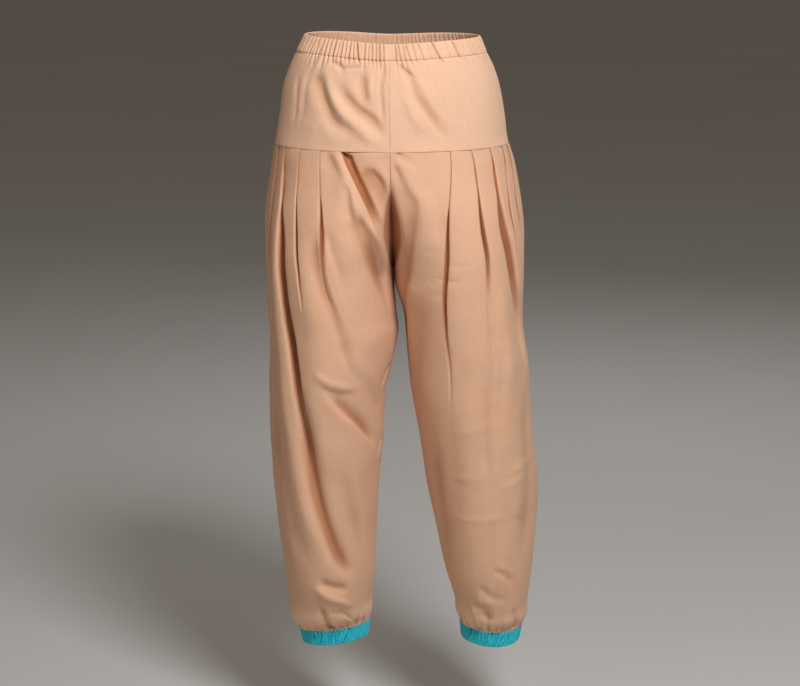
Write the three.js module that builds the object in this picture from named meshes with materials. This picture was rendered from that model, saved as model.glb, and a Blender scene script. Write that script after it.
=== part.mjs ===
// A salwar: full pleated trousers with an elasticated waist casing, a hip yoke of two halves,
// two legs that are each one width of cloth, and two narrow elasticated cuffs.
// Millimetres. +Z is up, +X is the wearer's left, -Y is the front.
// The origin is the centre of the waist casing at half its height, where the wearer holds the garment up.
import * as THREE from "three";

// ---- Cloth -----------------------------------------------------------------------------------
const CLOTH = 1.2; // wall of a single layer
const CASING_WALL = 3.0; // cloth folded double round its elastic
const CUFF_WALL = 2.6;
const SEAM_GAP = 0.3; // between two pieces, and between the two edges of an inseam

// ---- Levels ----------------------------------------------------------------------------------
const CASING_HALF_HEIGHT = 12.5; // at the centre front
const YOKE_SEAM_Z = -150;
const CROTCH_Z = -355;
const LEG_FOOT_Z = -943; // lower edge of a leg at the middle of its cuff
const CUFF_HEIGHT = 25;
const WAIST_LIFT_END_Z = -90; // from here up the sides of the yoke and casing ride higher
const CUFF_LEAN_START_Z = -860; // from here down a leg takes the slant of its cuff

// ---- Outlines --------------------------------------------------------------------------------
// Front and back reach of the whole garment at each height.
const DEPTH = [
  { z: 13, front: -97, back: 99 },
  { z: -13, front: -103, back: 104 },
  { z: -60, front: -113, back: 115 },
  { z: -100, front: -118, back: 123 },
  { z: -150, front: -122, back: 130 },
  { z: -224, front: -134, back: 140 },
  { z: -300, front: -142, back: 144 },
  { z: -370, front: -143, back: 138 },
  { z: -443, front: -138, back: 128 },
  { z: -541, front: -128, back: 122 },
  { z: -616, front: -118, back: 120 },
  { z: -691, front: -108, back: 118 },
  { z: -767, front: -97, back: 112 },
  { z: -844, front: -84, back: 102 },
  { z: -895, front: -68, back: 90 },
  { z: -921, front: -54, back: 79 },
  { z: -943, front: -40, back: 67 },
  { z: -967, front: -39, back: 65 },
];

// Outer edge of each half.
const OUTER = [
  { z: 13, left: 137, right: -133 },
  { z: -13, left: 148, right: -147 },
  { z: -35, left: 160, right: -159 },
  { z: -60, left: 169, right: -168 },
  { z: -100, left: 177, right: -174 },
  { z: -150, left: 184, right: -183 },
  { z: -176, left: 192, right: -188 },
  { z: -224, left: 202, right: -195 },
  { z: -272, left: 208, right: -199 },
  { z: -355, left: 210, right: -198 },
  { z: -417, left: 210, right: -197 },
  { z: -443, left: 212, right: -196 },
  { z: -492, left: 219, right: -195 },
  { z: -541, left: 223, right: -196 },
  { z: -616, left: 229, right: -195 },
  { z: -691, left: 236, right: -193 },
  { z: -767, left: 234, right: -185 },
  { z: -844, left: 228, right: -175 },
  { z: -895, left: 222, right: -167 },
  { z: -921, left: 219, right: -163 },
  { z: -943, left: 214, right: -152 },
  { z: -967, left: 210, right: -146 },
];

// The centre seam, front and back, from the waist down to the crotch.
const CENTRE_SEAM = [
  { z: 13, x: -3 },
  { z: -100, x: -3 },
  { z: -150, x: -2 },
  { z: -272, x: 1 },
  { z: -355, x: 4 },
];

// Inner edge of each leg, from the crotch down.
const INNER = [
  { z: -355, left: 4, right: 4 },
  { z: -417, left: 19, right: 8 },
  { z: -443, left: 22, right: 11 },
  { z: -492, left: 26, right: 3 },
  { z: -541, left: 31, right: -9 },
  { z: -616, left: 44, right: -12 },
  { z: -691, left: 56, right: -20 },
  { z: -767, left: 71, right: -24 },
  { z: -844, left: 87, right: -27 },
  { z: -895, left: 102, right: -31 },
  { z: -921, left: 107, right: -34 },
  { z: -943, left: 112, right: -36 },
  { z: -967, left: 114, right: -38 },
];

// ---- Knife pleats ----------------------------------------------------------------------------
// A row per pleat, from the centre front round the side to the centre back. Its fold edge faces the
// centre seam. The columns from "seam" to "hem" are the fold edge's distance from the side line at
// six levels, positive in front and negative behind. The cloth under the edge is spread out at the
// height "opens"; the groove beside it is "deep" at its deepest and gone at the height "ends".
const LEVELS = { seam: -150, hip: -250, crotch: -350, thigh: -450, knee: -700, hem: -943 };
const UNDERLAP = 12;
const LAYER_STEP = 1.6; // between the three layers at the seam
const LEFT_PLEATS = [
  { seam: 155, hip: 194, crotch: 209, thigh: 210, knee: 192, hem: 112, opens: -400, deep: 7, ends: -480 },
  { seam: 118, hip: 142, crotch: 142, thigh: 140, knee: 140, hem: 86, opens: -370, deep: 8, ends: -450 },
  { seam: 82, hip: 99, crotch: 90, thigh: 70, knee: 84, hem: 60, opens: -320, deep: 16, ends: -500 },
  { seam: 46, hip: 66, crotch: 58, thigh: 38, knee: 46, hem: 36, opens: -300, deep: 8, ends: -380 },
  { seam: 14, hip: 24, crotch: 22, thigh: 8, knee: 12, hem: 12, opens: -280, deep: 6, ends: -360 },
  { seam: -28, hip: -33, crotch: -36, thigh: -36, knee: -30, hem: -16, opens: -310, deep: 10, ends: -420 },
  { seam: -64, hip: -76, crotch: -84, thigh: -88, knee: -76, hem: -46, opens: -290, deep: 8, ends: -380 },
  { seam: -100, hip: -120, crotch: -138, thigh: -142, knee: -124, hem: -76, opens: -330, deep: 13, ends: -640 },
  { seam: -136, hip: -166, crotch: -194, thigh: -200, knee: -174, hem: -104, opens: -300, deep: 8, ends: -400 },
  { seam: -172, hip: -212, crotch: -250, thigh: -258, knee: -226, hem: -132, opens: -340, deep: 10, ends: -560 },
];
const RIGHT_PLEATS = [
  { seam: 171, hip: 219, crotch: 262, thigh: 280, knee: 258, hem: 148, opens: -260, deep: 7, ends: -340 },
  { seam: 134, hip: 170, crotch: 175, thigh: 196, knee: 222, hem: 132, opens: -300, deep: 8, ends: -560 },
  { seam: 97, hip: 122, crotch: 142, thigh: 150, knee: 184, hem: 118, opens: -310, deep: 7, ends: -380 },
  { seam: 62, hip: 89, crotch: 111, thigh: 115, knee: 146, hem: 104, opens: -330, deep: 17, ends: -860 },
  { seam: 32, hip: 44, crotch: 50, thigh: 52, knee: 66, hem: 50, opens: -280, deep: 7, ends: -360 },
  { seam: -8, hip: -12, crotch: -16, thigh: -18, knee: -14, hem: -6, opens: -300, deep: 8, ends: -400 },
  { seam: -46, hip: -56, crotch: -64, thigh: -66, knee: -54, hem: -38, opens: -320, deep: 12, ends: -600 },
  { seam: -84, hip: -102, crotch: -118, thigh: -120, knee: -100, hem: -70, opens: -290, deep: 7, ends: -380 },
  { seam: -122, hip: -150, crotch: -174, thigh: -180, knee: -154, hem: -102, opens: -330, deep: 11, ends: -520 },
  { seam: -160, hip: -198, crotch: -234, thigh: -244, knee: -212, hem: -134, opens: -310, deep: 8, ends: -420 },
];

// ---- Largest folds ---------------------------------------------------------------------------
// A row per soft trough, along a curve on a leg: its start, middle and end as distance from the side
// line and height, then its depth and half width. A negative depth is a ridge.
const LEFT_FOLDS = [
  { from: [232, -200], via: [262, -320], to: [306, -470], depth: -9, width: 30 },
  { from: [300, -260], via: [330, -330], to: [350, -420], depth: 7, width: 26 },
  { from: [150, -430], via: [150, -600], to: [130, -800], depth: 5, width: 34 },
  { from: [70, -420], via: [66, -520], to: [74, -700], depth: 8, width: 26 },
];
const RIGHT_FOLDS = [
  { from: [80, -380], via: [92, -600], to: [116, -860], depth: -8, width: 26 },
  { from: [186, -160], via: [232, -240], to: [290, -330], depth: 9, width: 24 },
  { from: [214, -340], via: [226, -440], to: [252, -560], depth: -6, width: 26 },
  { from: [176, -500], via: [232, -570], to: [280, -680], depth: 9, width: 28 },
];

// ---- The two halves of the garment ------------------------------------------------------------
// "waistLift" is how much higher the casing rides at the side than at the centre. A cuff is raised,
// and slants up by so much for each millimetre towards +X and towards the back.
const LEFT = {
  name: "left",
  side: 1,
  pleats: LEFT_PLEATS,
  folds: LEFT_FOLDS,
  waistLift: 5,
  cuff: { raised: 3, slantX: -0.05, slantY: 0.09 },
};
const RIGHT = {
  name: "right",
  side: -1,
  pleats: RIGHT_PLEATS,
  folds: RIGHT_FOLDS,
  waistLift: 8,
  cuff: { raised: 0.5, slantX: 0.12, slantY: -0.03 },
};

// ---- Mesh density ----------------------------------------------------------------------------
const SECTION_STEPS = 180;
const RISE_ROWS = 7; // rows of a leg from the yoke seam to the crotch
const LOWER_ROWS_Z = [-395, -445, -505, -570, -640, -710, -780, -840, -885, -918, LEG_FOOT_Z];
const YOKE_ROWS_Z = [-35, -60, -100];
const YOKE_COLUMNS = 18;
const CASING_COLUMNS = 34; // in each half
const CUFF_COLUMNS = 32;
const FRONT_PANEL_COLUMNS = 4; // extra ones between the centre front and the first pleat
const BACK_PANEL_COLUMNS = 2;

// ---- Gathers ---------------------------------------------------------------------------------
const CASING_PUCKER = 0.9;
const CUFF_PUCKER = 0.7;
const HEM_PUCKER = 1.4; // on a leg's foot, where the cuff gathers it
const HEM_PUCKER_TOP_Z = -875;

const { clamp, lerp, smoothstep } = THREE.MathUtils;

// A smooth curve through one column of a table, as a function of height.
function read(rows, column, z) {
  const last = rows.length - 1;
  const slope = (i) => {
    const a = rows[Math.max(i - 1, 0)];
    const b = rows[Math.min(i + 1, last)];
    return (b[column] - a[column]) / (b.z - a.z);
  };
  const height = clamp(z, rows[last].z, rows[0].z);
  const i = Math.min(
    rows.findIndex((row, k) => k < last && height >= rows[k + 1].z),
    last - 1,
  );
  const [p, q] = [rows[i], rows[i + 1]];
  const span = q.z - p.z;
  const t = (height - p.z) / span;
  return (
    p[column] * (2 * t ** 3 - 3 * t ** 2 + 1) +
    slope(i) * span * (t ** 3 - 2 * t ** 2 + t) +
    q[column] * (3 * t ** 2 - 2 * t ** 3) +
    slope(i + 1) * span * (t ** 3 - t ** 2)
  );
}

const innerEdge = (half, z) =>
  z > CROTCH_Z ? read(CENTRE_SEAM, "x", z) : read(INNER, half.name, z);

// How far a section has closed from half a hip oval (0) to a leg's full oval (1).
const closing = (z) => clamp((YOKE_SEAM_Z - z) / (YOKE_SEAM_Z - CROTCH_Z), 0, 1);

// One half's section: a half oval on the outer side, and on the inner side as much of another half
// oval as the centre seam leaves, so that the seam runs down in a J and ends at the crotch.
// It goes from the front seam round the side to the back seam, with each point's distance
// from the side line: positive in front, negative behind.
function section(half, z) {
  const t = closing(z);
  const inner = innerEdge(half, z) + (half.side * (SEAM_GAP + CLOTH * t)) / 2;
  const front = read(DEPTH, "front", z);
  const back = read(DEPTH, "back", z);
  const width = Math.abs(read(OUTER, half.name, z) - inner);
  const depth = (back - front) / 2;
  const inset = (width * t * (2 - t)) / 2;
  const middle = new THREE.Vector2(inner + half.side * inset, (front + back) / 2);
  const reach = { inner: width * (1 - t / 2), outer: width - inset };
  const seamAngle = Math.max(Math.acos(t), SEAM_GAP / 2 / depth);
  const points = [];
  for (let i = 0; i <= SECTION_STEPS; i++) {
    const angle = lerp(seamAngle, 2 * Math.PI - seamAngle, i / SECTION_STEPS);
    const across = Math.cos(angle) * (Math.cos(angle) > 0 ? reach.inner : reach.outer);
    points.push(
      new THREE.Vector2(middle.x - half.side * across, middle.y - depth * Math.sin(angle)),
    );
  }
  const along = [0];
  for (let i = 1; i < points.length; i++) {
    along.push(along[i - 1] + points[i].distanceTo(points[i - 1]));
  }
  const sideLine = along[SECTION_STEPS / 2];
  return { half, z, points, fromSide: along.map((s) => sideLine - s) };
}

// The place at a distance from the side line, moved out of the section by "out".
function onSection(cut, distance, out) {
  const { points, fromSide, half } = cut;
  const d = clamp(distance, fromSide[fromSide.length - 1], fromSide[0]);
  let i = fromSide.findIndex((s, k) => k > 0 && s <= d) - 1;
  i = clamp(i, 0, points.length - 2);
  const share = (fromSide[i] - d) / (fromSide[i] - fromSide[i + 1]);
  const place = points[i].clone().lerp(points[i + 1], share);
  const along = points[i + 1].clone().sub(points[i]).normalize();
  const outward = new THREE.Vector2(along.y, -along.x).multiplyScalar(half.side);
  return place.addScaledVector(outward, out);
}

// A point of a level section in its real height: raised at the side of the waist, and slanted
// with the cuff at a leg's foot.
function settle(half, place, z) {
  const aside = Math.abs(place.x / read(OUTER, half.name, z));
  const lift = half.waistLift * smoothstep(aside, 0, 1) * smoothstep(z, WAIST_LIFT_END_Z, 0);
  const share = smoothstep(-z, -CUFF_LEAN_START_Z, -LEG_FOOT_Z);
  const middleX = (innerEdge(half, LEG_FOOT_Z) + read(OUTER, half.name, LEG_FOOT_Z)) / 2;
  const middleY = (read(DEPTH, "front", LEG_FOOT_Z) + read(DEPTH, "back", LEG_FOOT_Z)) / 2;
  const { raised, slantX, slantY } = half.cuff;
  const lean = raised + slantX * (place.x - middleX) + slantY * (place.y - middleY);
  return new THREE.Vector3(place.x, place.y, z + lift + share * lean);
}

// ---- Walls -----------------------------------------------------------------------------------
// Offsets a row of points by half the wall to each side, with mitred corners, in the row's own plane.
function offsetRow(row, distance, side, closed) {
  const last = row.length - 1;
  return row.map((p, i) => {
    const before = closed ? row[(i + last) % row.length] : row[Math.max(i - 1, 0)];
    const after = closed ? row[(i + 1) % row.length] : row[Math.min(i + 1, last)];
    const a = new THREE.Vector2(p.x - before.x, p.y - before.y).normalize();
    const b = new THREE.Vector2(after.x - p.x, after.y - p.y).normalize();
    if (a.lengthSq() === 0) a.copy(b);
    if (b.lengthSq() === 0) b.copy(a);
    const normalA = new THREE.Vector2(a.y, -a.x);
    const normalB = new THREE.Vector2(b.y, -b.x);
    const mitre = normalA.clone().add(normalB).normalize();
    const reach = distance / Math.max(mitre.dot(normalB), 0.6);
    return new THREE.Vector3(p.x + side * mitre.x * reach, p.y + side * mitre.y * reach, p.z);
  });
}

// A closed wall round a grid of points: rows go down, columns go round.
function wallMesh(name, rows, thickness, side, material, { closed = false, limit = (p) => p } = {}) {
  const outer = rows.map((row) => offsetRow(row, thickness / 2, side, closed).map(limit));
  const inner = rows.map((row) => offsetRow(row, -thickness / 2, side, closed).map(limit));
  const columns = rows[0].length;
  const position = [...outer, ...inner].flat().flatMap((p) => [p.x, p.y, p.z]);
  const innerStart = rows.length * columns;
  const index = [];
  const quad = (a, b, c, d) =>
    side > 0 ? index.push(a, b, c, a, c, d) : index.push(a, c, b, a, d, c);
  const lastColumn = closed ? columns : columns - 1;
  for (let r = 0; r < rows.length - 1; r++) {
    for (let c = 0; c < lastColumn; c++) {
      const here = r * columns + c;
      const next = r * columns + ((c + 1) % columns);
      const [below, belowNext] = [here + columns, next + columns];
      quad(here, below, belowNext, next);
      quad(innerStart + here, innerStart + next, innerStart + belowNext, innerStart + below);
    }
    if (!closed) {
      const first = r * columns;
      const end = first + columns - 1;
      quad(first, innerStart + first, innerStart + first + columns, first + columns);
      quad(end, end + columns, innerStart + end + columns, innerStart + end);
    }
  }
  const bottom = (rows.length - 1) * columns;
  for (let c = 0; c < lastColumn; c++) {
    const next = (c + 1) % columns;
    quad(c, next, innerStart + next, innerStart + c);
    quad(bottom + c, innerStart + bottom + c, innerStart + bottom + next, bottom + next);
  }
  const geometry = new THREE.BufferGeometry();
  geometry.setAttribute("position", new THREE.Float32BufferAttribute(position, 3));
  geometry.setIndex(index);
  geometry.computeVertexNormals();
  const mesh = new THREE.Mesh(geometry, material);
  mesh.name = name;
  return mesh;
}

// ---- Pleats ----------------------------------------------------------------------------------
// Where a pleat's fold edge is at one height.
function foldEdge(pleat, z) {
  const rows = Object.entries(LEVELS).map(([level, height]) => ({ z: height, at: pleat[level] }));
  return read(rows, "at", z);
}

// The columns from one edge (a seam or a fold) to the next pleat's fold edge, which they pass under
// and come back to: plain ones, the two corners of the hidden fold, then the two of the fold edge.
function panelColumns(from, pleat, z, plain) {
  const edge = foldEdge(pleat, z);
  const opened = smoothstep(YOKE_SEAM_Z - z, 0, YOKE_SEAM_Z - pleat.opens);
  const fading = (YOKE_SEAM_Z - z) / (YOKE_SEAM_Z - pleat.ends);
  const sink =
    lerp(3 * LAYER_STEP, pleat.deep, smoothstep(fading, 0, 0.4)) *
    (1 - smoothstep(fading, 0.5, 1));
  const hidden = edge + Math.sign(edge - from) * UNDERLAP;
  const count = plain + 4;
  const columns = [];
  for (let i = 1; i <= count; i++) {
    const corner = i - plain;
    const closedAt = corner < 1 ? lerp(from, hidden, i / (plain + 1)) : corner < 3 ? hidden : edge;
    const depth = corner < 1 ? i / (plain + 1) : [1, 0.6, 0.36, 0][corner - 1];
    const openAt = lerp(from, edge, i / count);
    columns.push({ distance: lerp(closedAt, openAt, opened), out: -sink * depth });
  }
  return columns;
}

// The depth that a leg's folds take off the surface at one place.
function foldDepth(folds, distance, z) {
  let out = 0;
  for (const { from, via, to, depth, width } of folds) {
    const path = new THREE.QuadraticBezierCurve(
      new THREE.Vector2(...from),
      new THREE.Vector2(...via),
      new THREE.Vector2(...to),
    );
    const here = new THREE.Vector2(distance, z);
    let nearest = { gap: Infinity, share: 0 };
    for (const share of FOLD_SHARES) {
      const gap = path.getPoint(share).distanceTo(here);
      if (gap < nearest.gap) nearest = { gap, share };
    }
    const taper = smoothstep(nearest.share, 0, 0.25) * (1 - smoothstep(nearest.share, 0.7, 1));
    out -= depth * taper * Math.exp(-((nearest.gap / width) ** 2));
  }
  return out;
}
const FOLD_SHARES = Array.from({ length: 25 }, (_, i) => i / 24);

// ---- Materials -------------------------------------------------------------------------------
const peachCotton = new THREE.MeshStandardMaterial({ color: 0xe9bd9b, roughness: 0.75 });
const peachCasing = new THREE.MeshStandardMaterial({ color: 0xeabf9e, roughness: 0.75 });
const turquoiseBand = new THREE.MeshStandardMaterial({ color: 0x2a9aa6, roughness: 0.55 });

// ---- Pieces ----------------------------------------------------------------------------------
// The waist casing goes round both halves in one ring, with a pucker at every other column.
function waistCasing() {
  const ring = (z) => {
    const points = [];
    for (const half of [LEFT, RIGHT]) {
      const cut = section(half, z);
      const length = 2 * cut.fromSide[0];
      for (let i = 0; i < CASING_COLUMNS; i++) {
        const share = (i + 0.5) / CASING_COLUMNS;
        const distance = half.side * length * (0.5 - share);
        const place = onSection(cut, distance, i % 2 ? CASING_PUCKER : 0);
        points.push(settle(half, place, z));
      }
    }
    return points;
  };
  const rows = [CASING_HALF_HEIGHT, 0, -CASING_HALF_HEIGHT].map(ring);
  return wallMesh("waist_casing", rows, CASING_WALL, 1, peachCasing, { closed: true });
}

// Half of the hip yoke, from the centre front seam round the side to the centre back seam.
function yokeHalf(half) {
  const top = -CASING_HALF_HEIGHT - SEAM_GAP;
  const foot = YOKE_SEAM_Z + SEAM_GAP / 2;
  const rows = [top, ...YOKE_ROWS_Z, foot].map((z) => {
    const cut = section(half, z);
    return Array.from({ length: YOKE_COLUMNS + 1 }, (_, i) => {
      const place = onSection(cut, cut.fromSide[0] * (1 - (2 * i) / YOKE_COLUMNS), 0);
      return settle(half, place, z);
    });
  });
  return wallMesh(`yoke_${half.name}`, rows, CLOTH, half.side, peachCotton);
}

// A leg's columns at one height: from the centre front seam over the front pleats to the side,
// and from the centre back seam over the back pleats to the same side.
function legColumns(half, cut) {
  const frontSeam = cut.fromSide[0];
  const backSeam = cut.fromSide[cut.fromSide.length - 1];
  const run = (seam, pleats, firstPlain) => {
    const columns = [{ distance: seam, out: 0 }];
    pleats.forEach((pleat, i) => {
      const from = i ? foldEdge(pleats[i - 1], cut.z) : seam;
      columns.push(...panelColumns(from, pleat, cut.z, i ? 0 : firstPlain));
    });
    return columns;
  };
  const inFront = half.pleats.filter((pleat) => pleat.seam > 0);
  const behind = half.pleats.filter((pleat) => pleat.seam < 0).reverse();
  const front = run(frontSeam, inFront, FRONT_PANEL_COLUMNS);
  const back = run(backSeam, behind, BACK_PANEL_COLUMNS);
  const side = (front[front.length - 1].distance + back[back.length - 1].distance) / 2;
  return [...front, { distance: side, out: 0 }, ...back.reverse()];
}

// A leg: one width of cloth pleated into its yoke, joined to the other leg down to the crotch,
// and to itself along the inseam below.
function leg(half) {
  const riseRows = Array.from(
    { length: RISE_ROWS + 1 },
    (_, i) => lerp(YOKE_SEAM_Z, CROTCH_Z, Math.sin((Math.PI * i) / (2 * RISE_ROWS))),
  );
  riseRows[0] -= SEAM_GAP / 2;
  const rows = [...riseRows, ...LOWER_ROWS_Z].map((z) => {
    const cut = section(half, z);
    const gathered = HEM_PUCKER * smoothstep(-z, -HEM_PUCKER_TOP_Z, -LEG_FOOT_Z);
    return legColumns(half, cut).map(({ distance, out }, i) => {
      const toSeam = cut.fromSide[0] - Math.abs(distance);
      const folded = foldDepth(half.folds, distance, z) * smoothstep(toSeam, 0, 30);
      const place = onSection(cut, distance, out + folded + (i % 2 ? gathered : -gathered));
      return settle(half, place, z);
    });
  });
  // Down to the crotch a wall stays on its own side of the centre seam.
  const limit = (p) => {
    if (p.z < CROTCH_Z - 1) return p;
    const seam = innerEdge(half, p.z) + (half.side * SEAM_GAP) / 2;
    const x = half.side > 0 ? Math.max(p.x, seam) : Math.min(p.x, seam);
    return new THREE.Vector3(x, p.y, p.z);
  };
  return wallMesh(`leg_${half.name}`, rows, CLOTH, half.side, peachCotton, { limit });
}

// A cuff: a closed band of gathered cloth over elastic.
function cuff(half) {
  const top = LEG_FOOT_Z - SEAM_GAP;
  const rows = [top, top - CUFF_HEIGHT / 2, top - CUFF_HEIGHT].map((z) => {
    const cut = section(half, z);
    return Array.from({ length: CUFF_COLUMNS }, (_, i) => {
      const share = (i + 0.5) / CUFF_COLUMNS;
      const pucker = i % 2 ? CUFF_PUCKER : -CUFF_PUCKER;
      const place = onSection(cut, cut.fromSide[0] * (1 - 2 * share), pucker);
      return settle(half, place, z);
    });
  });
  return wallMesh(`cuff_${half.name}`, rows, CUFF_WALL, half.side, turquoiseBand, { closed: true });
}

const salwar = new THREE.Group();
salwar.add(waistCasing());
for (const half of [LEFT, RIGHT]) {
  salwar.add(yokeHalf(half), leg(half), cuff(half));
}

export default salwar;
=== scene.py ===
# %% [markdown]
# # A salwar
#
# A salwar is a pair of full, pleated trousers. This one has a waist casing with elastic in it, a
# yoke that fits the hips, two wide legs that are pleated into the yoke, and two narrow cuffs of
# another colour, gathered on elastic. It is shown filled out, as it hangs when it is worn.
#
# The lesson shows how to make worn cloth without a simulation. Each piece is a grid of points on a
# section of the garment, and pleats, folds and gathers move those points in or out. That way every
# fold is where a maker wants it. Cloth physics would drape such a piece well, but it would also put
# the folds somewhere else each time a size changes.
#
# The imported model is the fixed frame. Blender works in metres, and the sizes below are millimetres.

# %% Load the frame
import math
from collections import namedtuple

import bpy
import numpy as np
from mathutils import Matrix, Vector


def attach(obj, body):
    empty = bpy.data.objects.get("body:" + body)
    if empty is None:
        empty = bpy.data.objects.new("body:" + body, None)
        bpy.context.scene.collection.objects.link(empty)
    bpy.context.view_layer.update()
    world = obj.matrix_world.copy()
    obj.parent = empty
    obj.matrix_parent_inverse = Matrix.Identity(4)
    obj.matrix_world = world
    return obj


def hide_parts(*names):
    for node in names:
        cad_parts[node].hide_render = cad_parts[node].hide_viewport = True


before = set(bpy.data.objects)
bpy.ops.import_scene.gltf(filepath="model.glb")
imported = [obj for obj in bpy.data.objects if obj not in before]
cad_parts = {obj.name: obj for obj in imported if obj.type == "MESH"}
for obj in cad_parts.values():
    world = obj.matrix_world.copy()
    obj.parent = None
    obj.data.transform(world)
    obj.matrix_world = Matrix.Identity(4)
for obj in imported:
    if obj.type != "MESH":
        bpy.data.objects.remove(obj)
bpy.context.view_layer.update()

MM = 0.001
print("CAD nodes:", sorted(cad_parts))

# %% [markdown]
# ## Camera
#
# A long lens far away keeps the legs parallel, as they look in a catalogue. The camera stands a
# little above the waist and looks down by 12 degrees. It is made first, because it decides how
# fine each piece has to be: one element of an 800 wide picture covers 1.6 mm of cloth.

# %% Camera
CAMERA_DISTANCE = 3.8
CAMERA_ELEVATION = math.radians(12)
LOOK_AT = Vector((0.0136, 0.0, -0.472))
LENS = 106.875
SENSOR = 36.0

to_camera = Vector((0, -math.cos(CAMERA_ELEVATION), math.sin(CAMERA_ELEVATION)))
camera_data = bpy.data.cameras.new("camera")
camera_data.lens = LENS
camera_data.sensor_width = SENSOR
camera = bpy.data.objects.new("camera", camera_data)
camera.location = LOOK_AT + to_camera * CAMERA_DISTANCE
camera.rotation_euler = to_camera.to_track_quat("Z", "Y").to_euler()
bpy.context.scene.collection.objects.link(camera)
bpy.context.scene.camera = camera
print("camera at", [round(x, 3) for x in camera.location])

# %% [markdown]
# ## The form of the garment
#
# Four short tables hold the outline: how far the garment reaches to the front and back, to each
# side, where the centre seam runs, and where the legs part below the crotch. They are the numbers
# of the CAD model, with two more rows where the legs part, so the thin cloth lies in the middle of
# the CAD walls.
#
# A piece could also be a sculpted mesh or a subdivided cage. Tables are kinder: a change of 5 mm
# at the knee is one number, and the curve through the rows stays smooth.

# %% Outline tables
YOKE_SEAM = -150.0
CROTCH = -355.0
FOOT = -943.0
CASING_HALF = 12.5
CUFF_HEIGHT = 25.0
CLOTH = 0.5
# The gap at a seam, between the walls of the CAD model and between the pieces of cloth.
SEAM_GAP = 0.3
SEAM_LINE = 0.14
WAIST_LIFT_END = -90.0
CUFF_LEAN_START = -860.0

DEPTH = [
    ("z", "front", "back"),
    (13, -97, 99), (-13, -103, 104), (-60, -113, 115), (-100, -118, 123), (-150, -122, 130),
    (-224, -134, 140), (-300, -142, 144), (-370, -143, 138), (-443, -138, 128),
    (-541, -128, 122), (-616, -118, 120), (-691, -108, 118), (-767, -97, 112),
    (-844, -84, 102), (-895, -68, 90), (-921, -54, 79), (-943, -40, 67), (-967, -39, 65),
]
OUTER = [
    ("z", "left", "right"),
    (13, 137, -133), (-13, 148, -147), (-35, 160, -159), (-60, 169, -168), (-100, 177, -174),
    (-150, 184, -183), (-176, 192, -188), (-224, 202, -195), (-272, 208, -199),
    (-355, 210, -198), (-417, 210, -197), (-443, 212, -196), (-492, 219, -195),
    (-541, 223, -196), (-616, 229, -195), (-691, 236, -193), (-767, 234, -185),
    (-844, 228, -175), (-895, 222, -167), (-921, 219, -163), (-943, 214, -152),
    (-967, 210, -146),
]
CENTRE_SEAM = [("z", "x"), (13, -3), (-100, -3), (-150, -2), (-272, 1), (-355, 4)]
INNER = [
    ("z", "left", "right"),
    (-355, 4, 4), (-365, 4.6, 4.4), (-376, 6.6, 4.9), (-417, 19, 8), (-443, 22, 11),
    (-492, 26, 3), (-541, 31, -9), (-616, 44, -12), (-691, 56, -20), (-767, 71, -24),
    (-844, 87, -27), (-895, 102, -31), (-921, 107, -34), (-943, 112, -36), (-967, 114, -38),
]
Half = namedtuple("Half", "name side waist_lift cuff_raised cuff_slant_x cuff_slant_y")
LEFT = Half("left", 1, 5.0, 3.0, -0.05, 0.09)
RIGHT = Half("right", -1, 8.0, 0.5, 0.12, -0.03)
print("outline rows:", len(DEPTH) + len(OUTER) + len(CENTRE_SEAM) + len(INNER) - 4)

# %% [markdown]
# `read` draws a smooth curve through one column of a table. `section` cuts one half of the garment
# at a height: half an oval at the hips, which closes to a whole oval at the crotch, so that the
# centre seam runs down in a J. Every point of a section knows its distance from the side line,
# positive in front and negative behind, and that distance is how all folds are placed.

# %% Curves through the tables


def smooth(x, start, end):
    """0 up to start, 1 from end, and an S-curve between them."""
    t = np.clip((np.asarray(x, float) - start) / (end - start), 0, 1)
    return t * t * (3 - 2 * t)


def read(table, column, z):
    """The value of a table's smooth curve at one height."""
    rows = np.array(table[1:], float)[::-1]
    heights, values = rows[:, 0], rows[:, table[0].index(column)]
    slope = np.empty_like(values)
    slope[1:-1] = (values[2:] - values[:-2]) / (heights[2:] - heights[:-2])
    slope[0] = (values[1] - values[0]) / (heights[1] - heights[0])
    slope[-1] = (values[-1] - values[-2]) / (heights[-1] - heights[-2])
    z = float(np.clip(z, heights[0], heights[-1]))
    i = int(np.clip(np.searchsorted(heights, z) - 1, 0, len(heights) - 2))
    span = heights[i + 1] - heights[i]
    t = (z - heights[i]) / span
    return (
        values[i] * (2 * t**3 - 3 * t**2 + 1)
        + slope[i] * span * (t**3 - 2 * t**2 + t)
        + values[i + 1] * (3 * t**2 - 2 * t**3)
        + slope[i + 1] * span * (t**3 - t**2)
    )


def inner_edge(half, z):
    """Where the centre seam or the inner side of a leg runs."""
    return read(CENTRE_SEAM, "x", z) if z > CROTCH else read(INNER, half.name, z)


print(f"width of the left leg at its foot: {read(OUTER, 'left', FOOT) - inner_edge(LEFT, FOOT):.0f} mm")

# %% Sections
CLOSING_EASE = 0.6
SECTION_STEPS = 720
Cut = namedtuple("Cut", "half z reach from_back x y normal_x normal_y")


def closing(z):
    """How far a leg is closed: 0 at the yoke seam, 1 from the crotch down, without a break."""
    share = float(np.clip((YOKE_SEAM - z) / (YOKE_SEAM - CROTCH), 0, 1))
    t = max(0.0, (share - CLOSING_EASE) / (1 - CLOSING_EASE))
    return min(share, CLOSING_EASE) + (1 - CLOSING_EASE) * (t + t**2 - t**3)


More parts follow.
